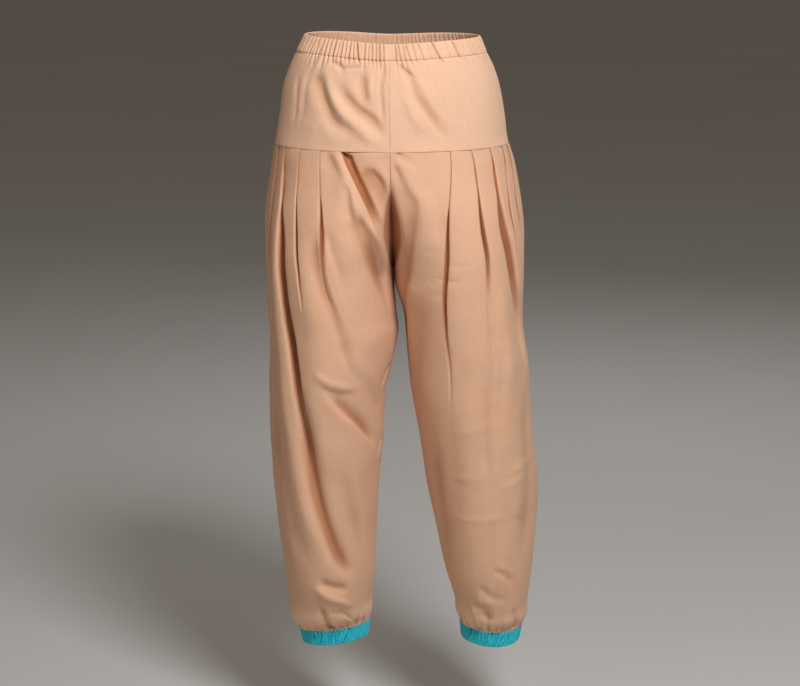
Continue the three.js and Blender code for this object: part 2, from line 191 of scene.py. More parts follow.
def section(half, z):
    """One half of the garment at a height, from the back seam round the side to the front seam."""
    closed = closing(z)
    # A closed leg is a tube, so the thickness of its cloth adds to the room between the legs.
    room = SEAM_GAP + (CLOTH + SEAM_LINE - SEAM_GAP) * closed
    inner = inner_edge(half, z) + half.side * room / 2
    front, back = read(DEPTH, "front", z), read(DEPTH, "back", z)
    width = abs(read(OUTER, half.name, z) - inner)
    depth = (back - front) / 2
    inset = width * closed * (2 - closed) / 2
    seam_angle = max(math.acos(closed), SEAM_GAP / 2 / depth)
    angle = np.linspace(2 * math.pi - seam_angle, seam_angle, SECTION_STEPS + 1)
    cosine = np.cos(angle)
    across = cosine * np.where(cosine > 0, width * (1 - closed / 2), width - inset)
    x = inner + half.side * (inset - across)
    y = (front + back) / 2 - depth * np.sin(angle)
    along = np.concatenate([[0], np.cumsum(np.hypot(np.diff(x), np.diff(y)))])
    tangent_x, tangent_y = np.gradient(x, along), np.gradient(y, along)
    length = np.hypot(tangent_x, tangent_y)
    return Cut(
        half, z, along[-1] / 2, along - along[SECTION_STEPS // 2], x, y,
        -half.side * tangent_y / length, half.side * tangent_x / length,
    )


print("points on each section:", SECTION_STEPS + 1)

# %% Places on a section


def settle(half, x, y, z):
    """The real height of a point: raised at the side of the waist, slanted with the cuff."""
    aside = np.abs(x / read(OUTER, half.name, z))
    lift = half.waist_lift * smooth(aside, 0, 1) * smooth(z, WAIST_LIFT_END, 0)
    middle_x = (inner_edge(half, FOOT) + read(OUTER, half.name, FOOT)) / 2
    middle_y = (read(DEPTH, "front", FOOT) + read(DEPTH, "back", FOOT)) / 2
    lean = half.cuff_raised + half.cuff_slant_x * (x - middle_x) + half.cuff_slant_y * (y - middle_y)
    return z + lift + smooth(-z, -CUFF_LEAN_START, -FOOT) * lean


def on_section(cut, distance, out, drop=0.0):
    """Points on a section at distances from the side line, moved out of it and up by drop."""
    x, y, normal_x, normal_y = (
        np.interp(distance, cut.from_back, values)
        for values in (cut.x, cut.y, cut.normal_x, cut.normal_y)
    )
    x, y = x + normal_x * out, y + normal_y * out
    return np.stack([x, y, settle(cut.half, x, y, cut.z) + drop], axis=-1)


for level in (0, YOKE_SEAM, CROTCH, FOOT):
    girth = 2 * (section(LEFT, level).reach + section(RIGHT, level).reach)
    print(f"girth of both halves at {level:.0f} mm: {girth:.0f} mm")

# %% [markdown]
# ## Folds
#
# A fold on worn cloth is a ridge or a trough that starts at a point of strain, such as the crotch
# or the end of a pleat, runs along a line, and fades. So a row in a fold table is a route in
# distance from the side line and height, a depth, and two widths: a fold is seldom the same on
# both sides. A narrow and a wide side together look like a crisp crease, two wide ones like a roll.
#
# `drift` adds the slow waviness that no large area of cloth is without.

# %% Folds
Fold = namedtuple("Fold", "route depth inward outward rise fall", defaults=(0.25, 0.35))
ROUTE_STEPS = 8
FLAT_BEYOND = 2.6


def rounded(route):
    """A Catmull-Rom curve through the points of a route."""
    p = np.array(route, float)
    p = np.concatenate([[2 * p[0] - p[1]], p, [2 * p[-1] - p[-2]]])
    t = np.linspace(0, 1, ROUTE_STEPS, endpoint=False)[:, None]
    spans = [
        0.5 * (2 * b + (c - a) * t + (2 * a - 5 * b + 4 * c - d) * t**2
               + (3 * b - a - 3 * c + d) * t**3)
        for a, b, c, d in zip(p, p[1:], p[2:], p[3:])
    ]
    return np.concatenate([*spans, p[-2:-1]])


def fold_out(fold, distance, z):
    """How far one fold moves the cloth outwards at each place."""
    route = rounded(fold.route)
    step = np.diff(route, axis=0)
    length = np.hypot(*step.T)
    unit = step / length[:, None]
    before = np.concatenate([[0], np.cumsum(length)[:-1]])
    margin = FLAT_BEYOND * max(fold.inward, fold.outward)
    low, high = route.min(0) - margin, route.max(0) + margin
    near = (distance > low[0]) & (distance < high[0]) & (z > low[1]) & (z < high[1])
    out = np.zeros_like(distance)
    if not near.any():
        return out
    here = np.stack([distance[near], z[near]], axis=-1)
    offset = here[:, None] - route[None, :-1]
    along = np.clip((offset * unit).sum(-1), 0, length)
    gap = ((offset - along[..., None] * unit) ** 2).sum(-1)
    k = gap.argmin(1)
    pick = np.arange(len(k))
    side = unit[k, 0] * offset[pick, k, 1] - unit[k, 1] * offset[pick, k, 0]
    width = np.where(side > 0, fold.inward, fold.outward)
    share = (before[k] + along[pick, k]) / length.sum()
    taper = smooth(share, 0, fold.rise) * (1 - smooth(share, 1 - fold.fall, 1))
    out[near] = fold.depth * taper * np.exp(-gap[pick, k] / width**2)
    return out


def folds_out(folds, distance, z):
    """How far a whole table of folds moves the cloth outwards."""
    return sum((fold_out(fold, distance, z) for fold in folds), np.zeros_like(distance))


sample = Fold([(0, 0), (0, -40), (0, -80)], depth=5.0, inward=8, outward=12)
across = np.linspace(-24, 24, 7)
print("across a ridge 5 mm high:", fold_out(sample, across, np.full_like(across, -40)).round(1))

# %% Drift
DRIFT_WAVES = (150, 105, 70, 46)
DRIFT_HEIGHT = 0.7
DRIFT_BEND = 0.6
DRIFT_SLANT = 0.6


def drift(distance, z, seed):
    """Slow waves of about a millimetre in every direction."""
    random = np.random.default_rng(seed)
    out = np.zeros_like(distance)
    for wave in DRIFT_WAVES:
        turn = random.uniform(0, math.pi)
        phase = random.uniform(0, 2 * math.pi)
        bend = DRIFT_BEND * np.sin(2 * math.pi * z / (wave * 2.3) + 2 * phase)
        along = distance * math.cos(turn) + DRIFT_SLANT * z * math.sin(turn)
        out += wave / DRIFT_WAVES[0] * np.sin(2 * math.pi * along / wave + phase + bend)
    return DRIFT_HEIGHT * out


print("wavelengths of the drift in mm:", DRIFT_WAVES)

# %% [markdown]
# ## From grid to cloth
#
# Every piece ends as a grid of points, rows down and columns round. `cloth_from_grid` makes the
# faces, gives the piece a UV map in metres of flat cloth, so that the weave keeps its size, and
# adds a Solidify modifier, which makes the cloth half a millimetre thick. A piece could be left
# as a sheet without thickness, but then its inside and its edges at the waist and hems look wrong.
#
# Two marks go with the points. `worn` is high on fold edges, and `inside` is high in hollows, where
# it stands for painted shade. The finish of the cloth reads both. A `Hollow` says how strong that
# painted shade gets in one kind of hollow, and at which depths in millimetres it starts and is full.

# %% Grid helpers
collection = bpy.context.scene.collection


def apply_modifiers(piece):
    """Turns what the modifiers make into the piece's own mesh."""
    graph = bpy.context.evaluated_depsgraph_get()
    made = bpy.data.meshes.new_from_object(
        piece.evaluated_get(graph), preserve_all_data_layers=True, depsgraph=graph
    )
    old = piece.data
    piece.modifiers.clear()
    piece.data = made
    bpy.data.meshes.remove(old)
    made.name = piece.name


def grid_mesh(name, points, uv, closed_round=False, closed_down=False, flip=False, marks=None):
    """A mesh from points[row, column] in millimetres. uv is per grid corner, one longer if closed."""
    rows, columns = points.shape[:2]
    row_steps = rows if closed_down else rows - 1
    column_steps = columns if closed_round else columns - 1
    r, c = np.meshgrid(np.arange(row_steps), np.arange(column_steps), indexing="ij")
    r2, c2 = (r + 1) % rows, (c + 1) % columns
    quads = np.stack([r * columns + c, r2 * columns + c, r2 * columns + c2, r * columns + c2], -1)
    corners = np.stack([uv[r, c], uv[r + 1, c], uv[r + 1, c + 1], uv[r, c + 1]], 2)
    if flip:
        quads, corners = quads[..., ::-1], corners[:, :, ::-1]
    mesh = bpy.data.meshes.new(name)
    mesh.from_pydata((points.reshape(-1, 3) * MM).tolist(), [], quads.reshape(-1, 4).tolist())
    layer = mesh.uv_layers.new(name="cloth")
    layer.data.foreach_set("uv", corners.reshape(-1).astype(np.float32))
    for mark, values in (marks or {}).items():
        attribute = mesh.attributes.new(mark, "FLOAT", "POINT")
        attribute.data.foreach_set("value", values.reshape(-1).astype(np.float32))
    mesh.polygons.foreach_set("use_smooth", [True] * len(mesh.polygons))
    piece = bpy.data.objects.new(name, mesh)
    collection.objects.link(piece)
    return piece


def cloth_from_grid(name, points, uv, side, material, marks=None):
    """A finished piece of cloth: the grid's mesh with its thickness and its material."""
    piece = grid_mesh(name, points, uv, flip=side < 0, marks=marks)
    thick = piece.modifiers.new("thickness", "SOLIDIFY")
    thick.thickness = CLOTH * MM
    thick.offset = 0
    piece.data.materials.append(material)
    apply_modifiers(piece)
    print(f"{name}: {len(piece.data.polygons)} faces")
    return piece


print("thickness of the cloth in mm:", CLOTH)

# %% Seams and hollows
DENSE_STEPS = (0.0, 0.5, 1.1, 2.0, 3.2)
DENSE_END = 5.0
Hollow = namedtuple("Hollow", "share starts full")


def flat_map(across, down):
    """The UVs of a grid, from the places of its columns and rows on the flat cloth."""
    return np.stack(np.broadcast_arrays(across[None, :], down[:, None]), -1)


def painted_shade_mark(depth, hollow):
    """The painted shade, the mark `inside`, at each depth of one kind of hollow."""
    return hollow.share * smooth(depth, hollow.starts, hollow.full)


def denser_at_ends(start, end, count):
    """Evenly spaced values with a few close ones at both ends, where a seam turns the cloth in."""
    sign = math.copysign(1, end - start)
    margin = sign * DENSE_END
    middle = np.linspace(start + margin, end - margin, count - 2 * len(DENSE_STEPS))
    ends = np.array(DENSE_STEPS) * sign
    return np.concatenate([start + ends, middle, (end - ends)[::-1]])


def turned_in(gap, depth=0.4, reach=1.1):
    """How far cloth dips where it turns into a seam, for a distance from the seam."""
    return -depth * np.exp(-((gap / reach) ** 2))


print("columns beside a seam, in mm from it:", DENSE_STEPS)

# %% [markdown]
# ## Node maths
#
# A cloth finish is mostly arithmetic on coordinates, and so are the puckers of a cuff. One small
# class wraps a node's output, so that `1 - mask * 0.3` adds the Math nodes for it. Colours go
# through Mix and Vector Math nodes, because a Math node would turn them grey. `Nodes` adds any
# other node. The materials and the Geometry Nodes trees are both made with it.

# %% Node helpers


class Value:
    """What comes out of a node, to calculate with or to plug in elsewhere."""

    def __init__(self, nodes, socket):
        self.nodes, self.socket = nodes, socket

    def _maths(self, operation, *terms):
        return self.nodes.add("ShaderNodeMath", {"operation": operation}, dict(enumerate(terms)))

    def __add__(self, other):
        return self._maths("ADD", self, other)

    def __sub__(self, other):
        return self._maths("SUBTRACT", self, other)

    def __rsub__(self, other):
        return self._maths("SUBTRACT", other, self)

    def __mul__(self, other):
        return self._maths("MULTIPLY", self, other)

    def __truediv__(self, other):
        return self._maths("DIVIDE", self, other)

    def __rtruediv__(self, other):
        return self._maths("DIVIDE", other, self)

    def __pow__(self, other):
        return self._maths("POWER", self, other)

    def __rpow__(self, other):
        return self._maths("POWER", other, self)

    def __abs__(self):
        return self._maths("ABSOLUTE", self)

    __radd__, __rmul__ = __add__, __mul__

    def sin(self):
        return self._maths("SINE", self)


# %% Nodes and finishes


class Nodes:
    """A node tree that grows by one node at a time."""

    def __init__(self, tree):
        self.tree = tree

    def plug(self, socket, value):
        if isinstance(value, Value):
            self.tree.links.new(value.socket, socket)
        else:
            socket.default_value = value

    def add(self, kind, settings=None, sockets=None, out=0):
        """Any node: its type, its settings, the values or links of its sockets, and which output."""
        node = self.tree.nodes.new(kind)
        for name, value in (settings or {}).items():
            setattr(node, name, value)
        for name, value in (sockets or {}).items():
            self.plug(node.inputs[name], value)
        return Value(self, node.outputs[out])


class Finish(Nodes):
    """A material with one Principled BSDF, whose fixed numbers are set on its own sockets."""

    def __init__(self, name, **fixed):
        self.material = bpy.data.materials.new(name)
        self.material.use_nodes = True
        super().__init__(self.material.node_tree)
        self.tree.nodes.clear()
        self.surface = self.tree.nodes.new("ShaderNodeBsdfPrincipled")
        output = self.tree.nodes.new("ShaderNodeOutputMaterial")
        self.tree.links.new(self.surface.outputs[0], output.inputs[0])
        for socket, value in fixed.items():
            self.surface.inputs[socket.replace("_", " ")].default_value = value

    def noise(self, vector, scale, detail=2.0, roughness=0.5, distortion=0.0):
        sockets = {
            "Vector": vector, "Scale": scale, "Detail": detail,
            "Roughness": roughness, "Distortion": distortion,
        }
        return self.add("ShaderNodeTexNoise", None, sockets)

    def blend(self, factor, first, second):
        sockets = {0: factor, 6: first, 7: second}
        return self.add("ShaderNodeMix", {"data_type": "RGBA"}, sockets, 2)

    def bump(self, height, distance, strength=1.0, under=None):
        sockets = {"Height": height, "Distance": distance, "Strength": strength}
        if under is not None:
            sockets["Normal"] = under
        return self.add("ShaderNodeBump", None, sockets)

    def show(self, **varying):
        """Plugs in what varies over the surface, and gives the finished material."""
        for socket, value in varying.items():
            self.plug(self.surface.inputs[socket.replace("_", " ")], value)
        return self.material


# %% [markdown]
# ## Peach cotton
#
# The main cloth is a thin plain-weave cotton: matt, with a faint sheen where light grazes it. Up
# close it shows threads that cross over and under, and here and there a thicker thread, a slub,
# as a streak along the warp or the weft. From a distance it shows soft crumples from wearing, more
# in some places than in others. An image of cloth would be quicker to use, but it repeats and has
# its own light in it. So the threads are two sines of the flat cloth's own coordinates, the slubs
# are noise stretched along each thread direction, and the crumples are slow noise as bump.
#
# A hollow of thin cloth is in shade, warmed by light going from fold to fold, so it isn't grey
# but a deeper colour. The mark `inside` paints that shade into the colour, and the mark `worn`
# lightens fold edges.

# %% Cotton finish
PEACH = (0.82, 0.515, 0.345, 1)
PEACH_SHADE = (0.69, 0.38, 0.23, 1)
PEACH_LIGHT = (0.89, 0.61, 0.44, 1)
# Painted shade for the hollows of the peach cloth.
PEACH_PAINTED_SHADE = (0.40, 0.13, 0.033, 1)
TURQUOISE = (0.02, 0.57, 0.70, 1)
TURQUOISE_SHADE = (0.01, 0.43, 0.55, 1)
TURQUOISE_LIGHT = (0.06, 0.66, 0.78, 1)
# Painted shade for the hollows of the turquoise cloth.
TURQUOISE_PAINTED_SHADE = (0.002, 0.12, 0.18, 1)
THREAD_PITCH = 0.00042
WARP_SLUBS = (520, 30)
WEFT_SLUBS = (34, 600)
WORN_LIGHTENS = 0.35
PAINTED_SHADE_STRENGTH = 0.85


def woven(name, colour, shade, light, deep, crumple, sheen):
    """Plain-weave cloth in four tones of one colour, the deepest of them painted shade for hollows.
    crumple is a depth in metres.
    """
    finish = Finish(
        name, Sheen_Weight=sheen, Sheen_Roughness=0.45, Specular_IOR_Level=0.25,
        Sheen_Tint=(1.0, 0.93, 0.86, 1),
    )
    cloth = finish.add("ShaderNodeUVMap", {"uv_map": "cloth"})
    place = finish.add("ShaderNodeTexCoord", out=3)
    flat = [finish.add("ShaderNodeSeparateXYZ", None, {0: cloth}, axis) for axis in (0, 1)]
    threads = [(axis * (math.pi / THREAD_PITCH)).sin() for axis in flat]
    weave = threads[0] * threads[1]

    def streaks(across, along):
        stretched = {"X": flat[0] * across, "Y": flat[1] * along}
        vector = finish.add("ShaderNodeCombineXYZ", None, stretched)
        return finish.noise(vector, 1.0, 2.0, 0.6)

    slubs = (streaks(*WARP_SLUBS) + streaks(*WEFT_SLUBS)) / 2
    mottle = finish.noise(place, 260.0, 3.0, 0.6)
    patches = finish.noise(place, 7.0, 2.0, 0.5)
    calm = finish.noise(place, 5.0, 1.0)
    soft_crumple = finish.noise(place, 38.0, 2.0, 0.4, 0.4) * (calm - 0.2)
    tone = (slubs - 0.5) * 1.1 + (mottle - 0.5) * 0.5 + (patches - 0.5) * 0.5
    base = finish.blend(0.5 + tone, shade, light)
    base = finish.blend(0.45, base, colour)
    worn = finish.add("ShaderNodeAttribute", {"attribute_name": "worn"}, None, 2)
    base = finish.blend(worn * WORN_LIGHTENS, base, light)
    # Painted shade: where the mark `inside` is high, in hollows, the colour goes towards the deep tone.
    inside = finish.add("ShaderNodeAttribute", {"attribute_name": "inside"}, None, 2)
    base = finish.blend(inside * PAINTED_SHADE_STRENGTH, base, deep)
    normal = finish.bump(soft_crumple, crumple)
    normal = finish.bump(finish.noise(place, 75.0, 4.0, 0.6), 0.0011, 0.6, normal)
    normal = finish.bump(weave * 0.35 + slubs * 1.6, 0.00018, 0.9, normal)
    rough = 0.86 + (slubs - 0.5) * 0.12 - worn * 0.05
    return finish.show(Base_Color=base, Roughness=rough, Normal=normal)


peach_cotton = woven(
    "peach_cotton", PEACH, PEACH_SHADE, PEACH_LIGHT, PEACH_PAINTED_SHADE, crumple=0.0035, sheen=0.10
)
turquoise_cotton = woven(
    "turquoise_cotton", TURQUOISE, TURQUOISE_SHADE, TURQUOISE_LIGHT, TURQUOISE_PAINTED_SHADE,
    crumple=0.0005, sheen=0.14,
)
print("cloth:", peach_cotton.name, "and", turquoise_cotton.name)

# %% [markdown]
# ## Sewing thread
#
# Thread is two or three strands twisted together, so shade between them runs round it in a spiral.
# A stitch is less than 3 mm long, so a slanted wave in its own place is enough, as a bump and as
# painted shade in the colour.

# %% Thread finish
PEACH_THREAD_PAINTED_SHADE = (0.66, 0.36, 0.22, 1)


def thread(name, colour, dark):
    """Twisted sewing thread, its own colour on its strands and painted shade between them."""
    finish = Finish(name, Sheen_Weight=0.2, Specular_IOR_Level=0.35)
    place = finish.add("ShaderNodeTexCoord", out=3)
    x, y, z = (finish.add("ShaderNodeSeparateXYZ", None, {0: place}, axis) for axis in range(3))
    twist = ((x + y) * 5200 + z * 4100).sin() * 0.5 + 0.5
    normal = finish.bump(twist, 0.00015, 0.8)
    return finish.show(Base_Color=finish.blend(twist, dark, colour), Roughness=0.6, Normal=normal)


# The second colour of each thread is the painted shade between its strands.
peach_thread = thread("peach_thread", PEACH_LIGHT, PEACH_THREAD_PAINTED_SHADE)
turquoise_thread = thread("turquoise_thread", TURQUOISE_LIGHT, TURQUOISE_SHADE)
print("thread:", peach_thread.name, "and", turquoise_thread.name)

# %% [markdown]
# ## Legs: knife pleats
#
# Each leg is one width of cloth with ten knife pleats where it meets the yoke. A knife pleat is a
# Z of three layers: the cloth runs on under the pleat, turns back to the fold edge, and turns
# again to go on. All fold edges face the centre seam. Below the seam the layers spread and the
# pleat becomes a groove, which ends at its own height. So a row of the table gives the fold edge at
# six levels, where the layers are spread out, how wide and deep the groove is, and where it ends.
#
# Pleats could be extruded as boxes or painted as bump. Only real layers give the thin dark line
# beside a bright edge, and a row of columns that doubles back makes them. A table of corners gives
# the shape of that row, closed at the seam and opened as a groove. The grooves of the left leg
# have a steep far wall, and those of the right leg a slanted one.

# %% Pleat tables
LEVELS = (-150, -250, -350, -450, -700, -943)
Pleat = namedtuple("Pleat", "edge opens wide deep ends")
LEFT_PLEATS = [
    Pleat((152, 199, 214, 209, 192, 112), -320, 7, 10, -580),
    Pleat((115, 143, 141, 136, 140, 86), -280, 9, 20, -420),
    Pleat((78, 96, 77, 46, 70, 56), -285, 20, 30, -500),
    Pleat((43, 73, 62, 30, 46, 36), -250, 8, 10, -380),
    Pleat((24, 46, 36, 8, 14, 12), -240, 6, 8, -340),
    Pleat((-28, -33, -36, -36, -30, -16), -310, 7, 10, -420),
    Pleat((-64, -76, -84, -88, -76, -46), -290, 5, 8, -380),
    Pleat((-100, -120, -138, -142, -124, -76), -330, 10, 15, -640),
    Pleat((-136, -166, -194, -200, -174, -104), -300, 6, 9, -400),
    Pleat((-172, -212, -250, -258, -226, -132), -340, 8, 12, -560),
]
RIGHT_PLEATS = [
    Pleat((166, 250, 298, 308, 262, 148), -153, 15, 12, -300),
    Pleat((132, 171, 184, 204, 224, 132), -300, 9, 8, -400),
    Pleat((94, 126, 143, 150, 184, 118), -290, 6, 14, -410),
    Pleat((60, 87, 96, 106, 134, 104), -310, 19, 34, -720),
    Pleat((36, 56, 58, 56, 66, 50), -300, 8, 12, -430),
    Pleat((-8, -12, -16, -18, -14, -6), -300, 6, 9, -400),
    Pleat((-46, -56, -64, -66, -54, -38), -320, 9, 14, -600),
    Pleat((-84, -102, -118, -120, -100, -70), -290, 5, 8, -380),
    Pleat((-122, -150, -174, -180, -154, -102), -330, 8, 12, -520),
    Pleat((-160, -198, -234, -244, -212, -134), -310, 7, 9, -420),
]
print("pleats:", len(LEFT_PLEATS), "left and", len(RIGHT_PLEATS), "right")

# %% The shape of a groove
UNDERLAP = 12.0
SINK_AT_SEAM = 2.0
WIDTH_AT_SEAM = 0.3
# Shares of the way down to where a pleat is open: there its layers spread, its groove widens and
# its groove deepens. The last pair are shares of the way down to where the groove ends.
SPREADS = (0.05, 0.6)
WIDENS = (0.4, 1.0)
DEEPENS = (0.0, 0.8)
FADES = (0.45, 1.0)
# Each corner of a pleat's groove, up to the fold edge: place in underlaps while the pleat is
# closed, place in groove widths once it is open, then depth and painted shade in each state.
Corner = namedtuple("Corner", "tucked open sunk_closed sunk_open dark_closed dark_open")
LIP = (Corner(-0.20, 1.35, 0.62, 0.00, 0, 0), Corner(0.02, 1.10, 0.72, 0.02, 1, 0.2))
EDGE = (Corner(0.00, 0.08, 0.12, 0.16, 0.6, 0.9), Corner(0.00, 0.00, 0.00, 0.00, 0, 0))
CORNERS = {
    "right": (
        *LIP, Corner(0.92, 1.00, 0.92, 0.04, 1, 0.5), Corner(1.00, 0.60, 1.00, 0.66, 1, 0.9),
        Corner(0.00, 0.12, 0.36, 1.00, 1, 1), *EDGE,
    ),
    "left": (
        *LIP, Corner(0.92, 1.00, 0.92, 0.04, 1, 0.7), Corner(1.00, 0.84, 1.00, 1.00, 1, 1),
        Corner(0.00, 0.40, 0.36, 0.66, 1, 1), *EDGE,
    ),
}
print("corners of a groove:", len(CORNERS["left"]))

# %% Columns of a leg


def fold_edge(pleat, z):
    """The distance from the side line of a pleat's fold edge at one height."""
    rows = [("z", "at"), *zip(LEVELS, pleat.edge)]
    return read(rows, "at", z)


def eased(count):
    """Shares from 0 to 1 that are close together at both ends."""
    t = np.linspace(0, 1, count + 1)[1:]
    return 0.5 * t + 0.25 * (1 - np.cos(math.pi * t))


def panel_shares(plain, fine):
    """A column's share of its way from one fold edge to the next, and its corner's number."""
    legs = [(0, eased(plain))]
    legs += [(k + 1, np.linspace(0, 1, n + 1)[1:]) for k, n in enumerate(fine)]
    return [(k, t) for k, shares in legs for t in shares]


def panel(start, pleat, z, steps, corners):
    """Distances, depths, wear and painted shade of the columns from start to a pleat's fold edge."""
    edge = fold_edge(pleat, z)
    drop, length = YOKE_SEAM - z, YOKE_SEAM - pleat.opens

    def grown(shares):
        return float(smooth(drop, shares[0] * length, shares[1] * length))

    opened = grown(SPREADS)
    wide = pleat.wide * (WIDTH_AT_SEAM + (1 - WIDTH_AT_SEAM) * grown(WIDENS))
    fading = drop / (YOKE_SEAM - pleat.ends)
    left = float(1 - smooth(fading, *FADES))
    sink = (SINK_AT_SEAM + (pleat.deep - SINK_AT_SEAM) * grown(DEEPENS)) * left
    back = math.copysign(1, start - edge)
    # dark holds painted shade: under a closed pleat and in the bottom of an open groove.
    at, sunk, dark = [start], [0.0], [0.0]
    for corner in corners:
        shift = opened * wide * corner.open - (1 - opened) * UNDERLAP * corner.tucked
        sinks = corner.sunk_closed + (corner.sunk_open - corner.sunk_closed) * opened
        painted_shade_here = corner.dark_closed + (corner.dark_open - corner.dark_closed) * opened
        at.append(edge + back * shift)
        sunk.append(-sink * sinks)
        dark.append(left**2 * painted_shade_here)
    worn = max(1 - fading, 0.0) / 2
    return [
        (at[k] + (at[k + 1] - at[k]) * t, sunk[k] + (sunk[k + 1] - sunk[k]) * t,
         worn if k == len(corners) and t == 1 else 0.0, dark[k] + (dark[k + 1] - dark[k]) * t)
        for k, t in steps
    ]


# How many columns each panel has, from the seam outwards, and then each corner of a groove.
FRONT_PLAIN = {"left": (40, 11, 11, 11, 11), "right": (26, 30, 11, 11, 11)}
FRONT_FINE = (1, 2, 3, 4, 3, 1)
BACK_PLAIN = (18, 7, 7, 7, 7)
BACK_FINE = (1, 1, 2, 3, 1, 1)
SIDE_COLUMNS = 6


def leg_columns(pleats, cut):
    """All columns of a leg at one height, from the front seam round the side to the back seam."""
    name = cut.half.name

    def run(seam, these, plain, fine):
        columns, start = [(seam, 0.0, 0.0, 0.0)], seam
        for pleat, count in zip(these, plain):
            columns += panel(start, pleat, cut.z, panel_shares(count, fine), CORNERS[name])
            start = fold_edge(pleat, cut.z)
        return columns

    front = run(cut.reach, [p for p in pleats if p.edge[0] > 0], FRONT_PLAIN[name], FRONT_FINE)
    back = run(-cut.reach, [p for p in pleats if p.edge[0] < 0][::-1], BACK_PLAIN, BACK_FINE)
    side = np.linspace(front[-1][0], back[-1][0], SIDE_COLUMNS + 2)[1:-1]
    return np.array([*front, *((d, 0.0, 0.0, 0.0) for d in side), *back[::-1]])


def soften(values, times):
    """Rounds the corners of a row of columns, and leaves its two ends."""
    for _ in range(times):
        values[1:-1] = values[1:-1] / 2 + (values[:-2] + values[2:]) / 4
    return values


print("columns of a leg:", len(leg_columns(LEFT_PLEATS, section(LEFT, YOKE_SEAM))))

# %% [markdown]
# ## Legs: folds
#
# The front of the right leg has the liveliest folds: the cloth is drawn from the first pleat
# towards the crotch, so ridges and troughs fan out there, and a long groove runs down from the
# fourth pleat. The left leg turns at its inner thigh and is calm below. The back has folds of the
# same kind from the seat to the knee. Positive depths are ridges.

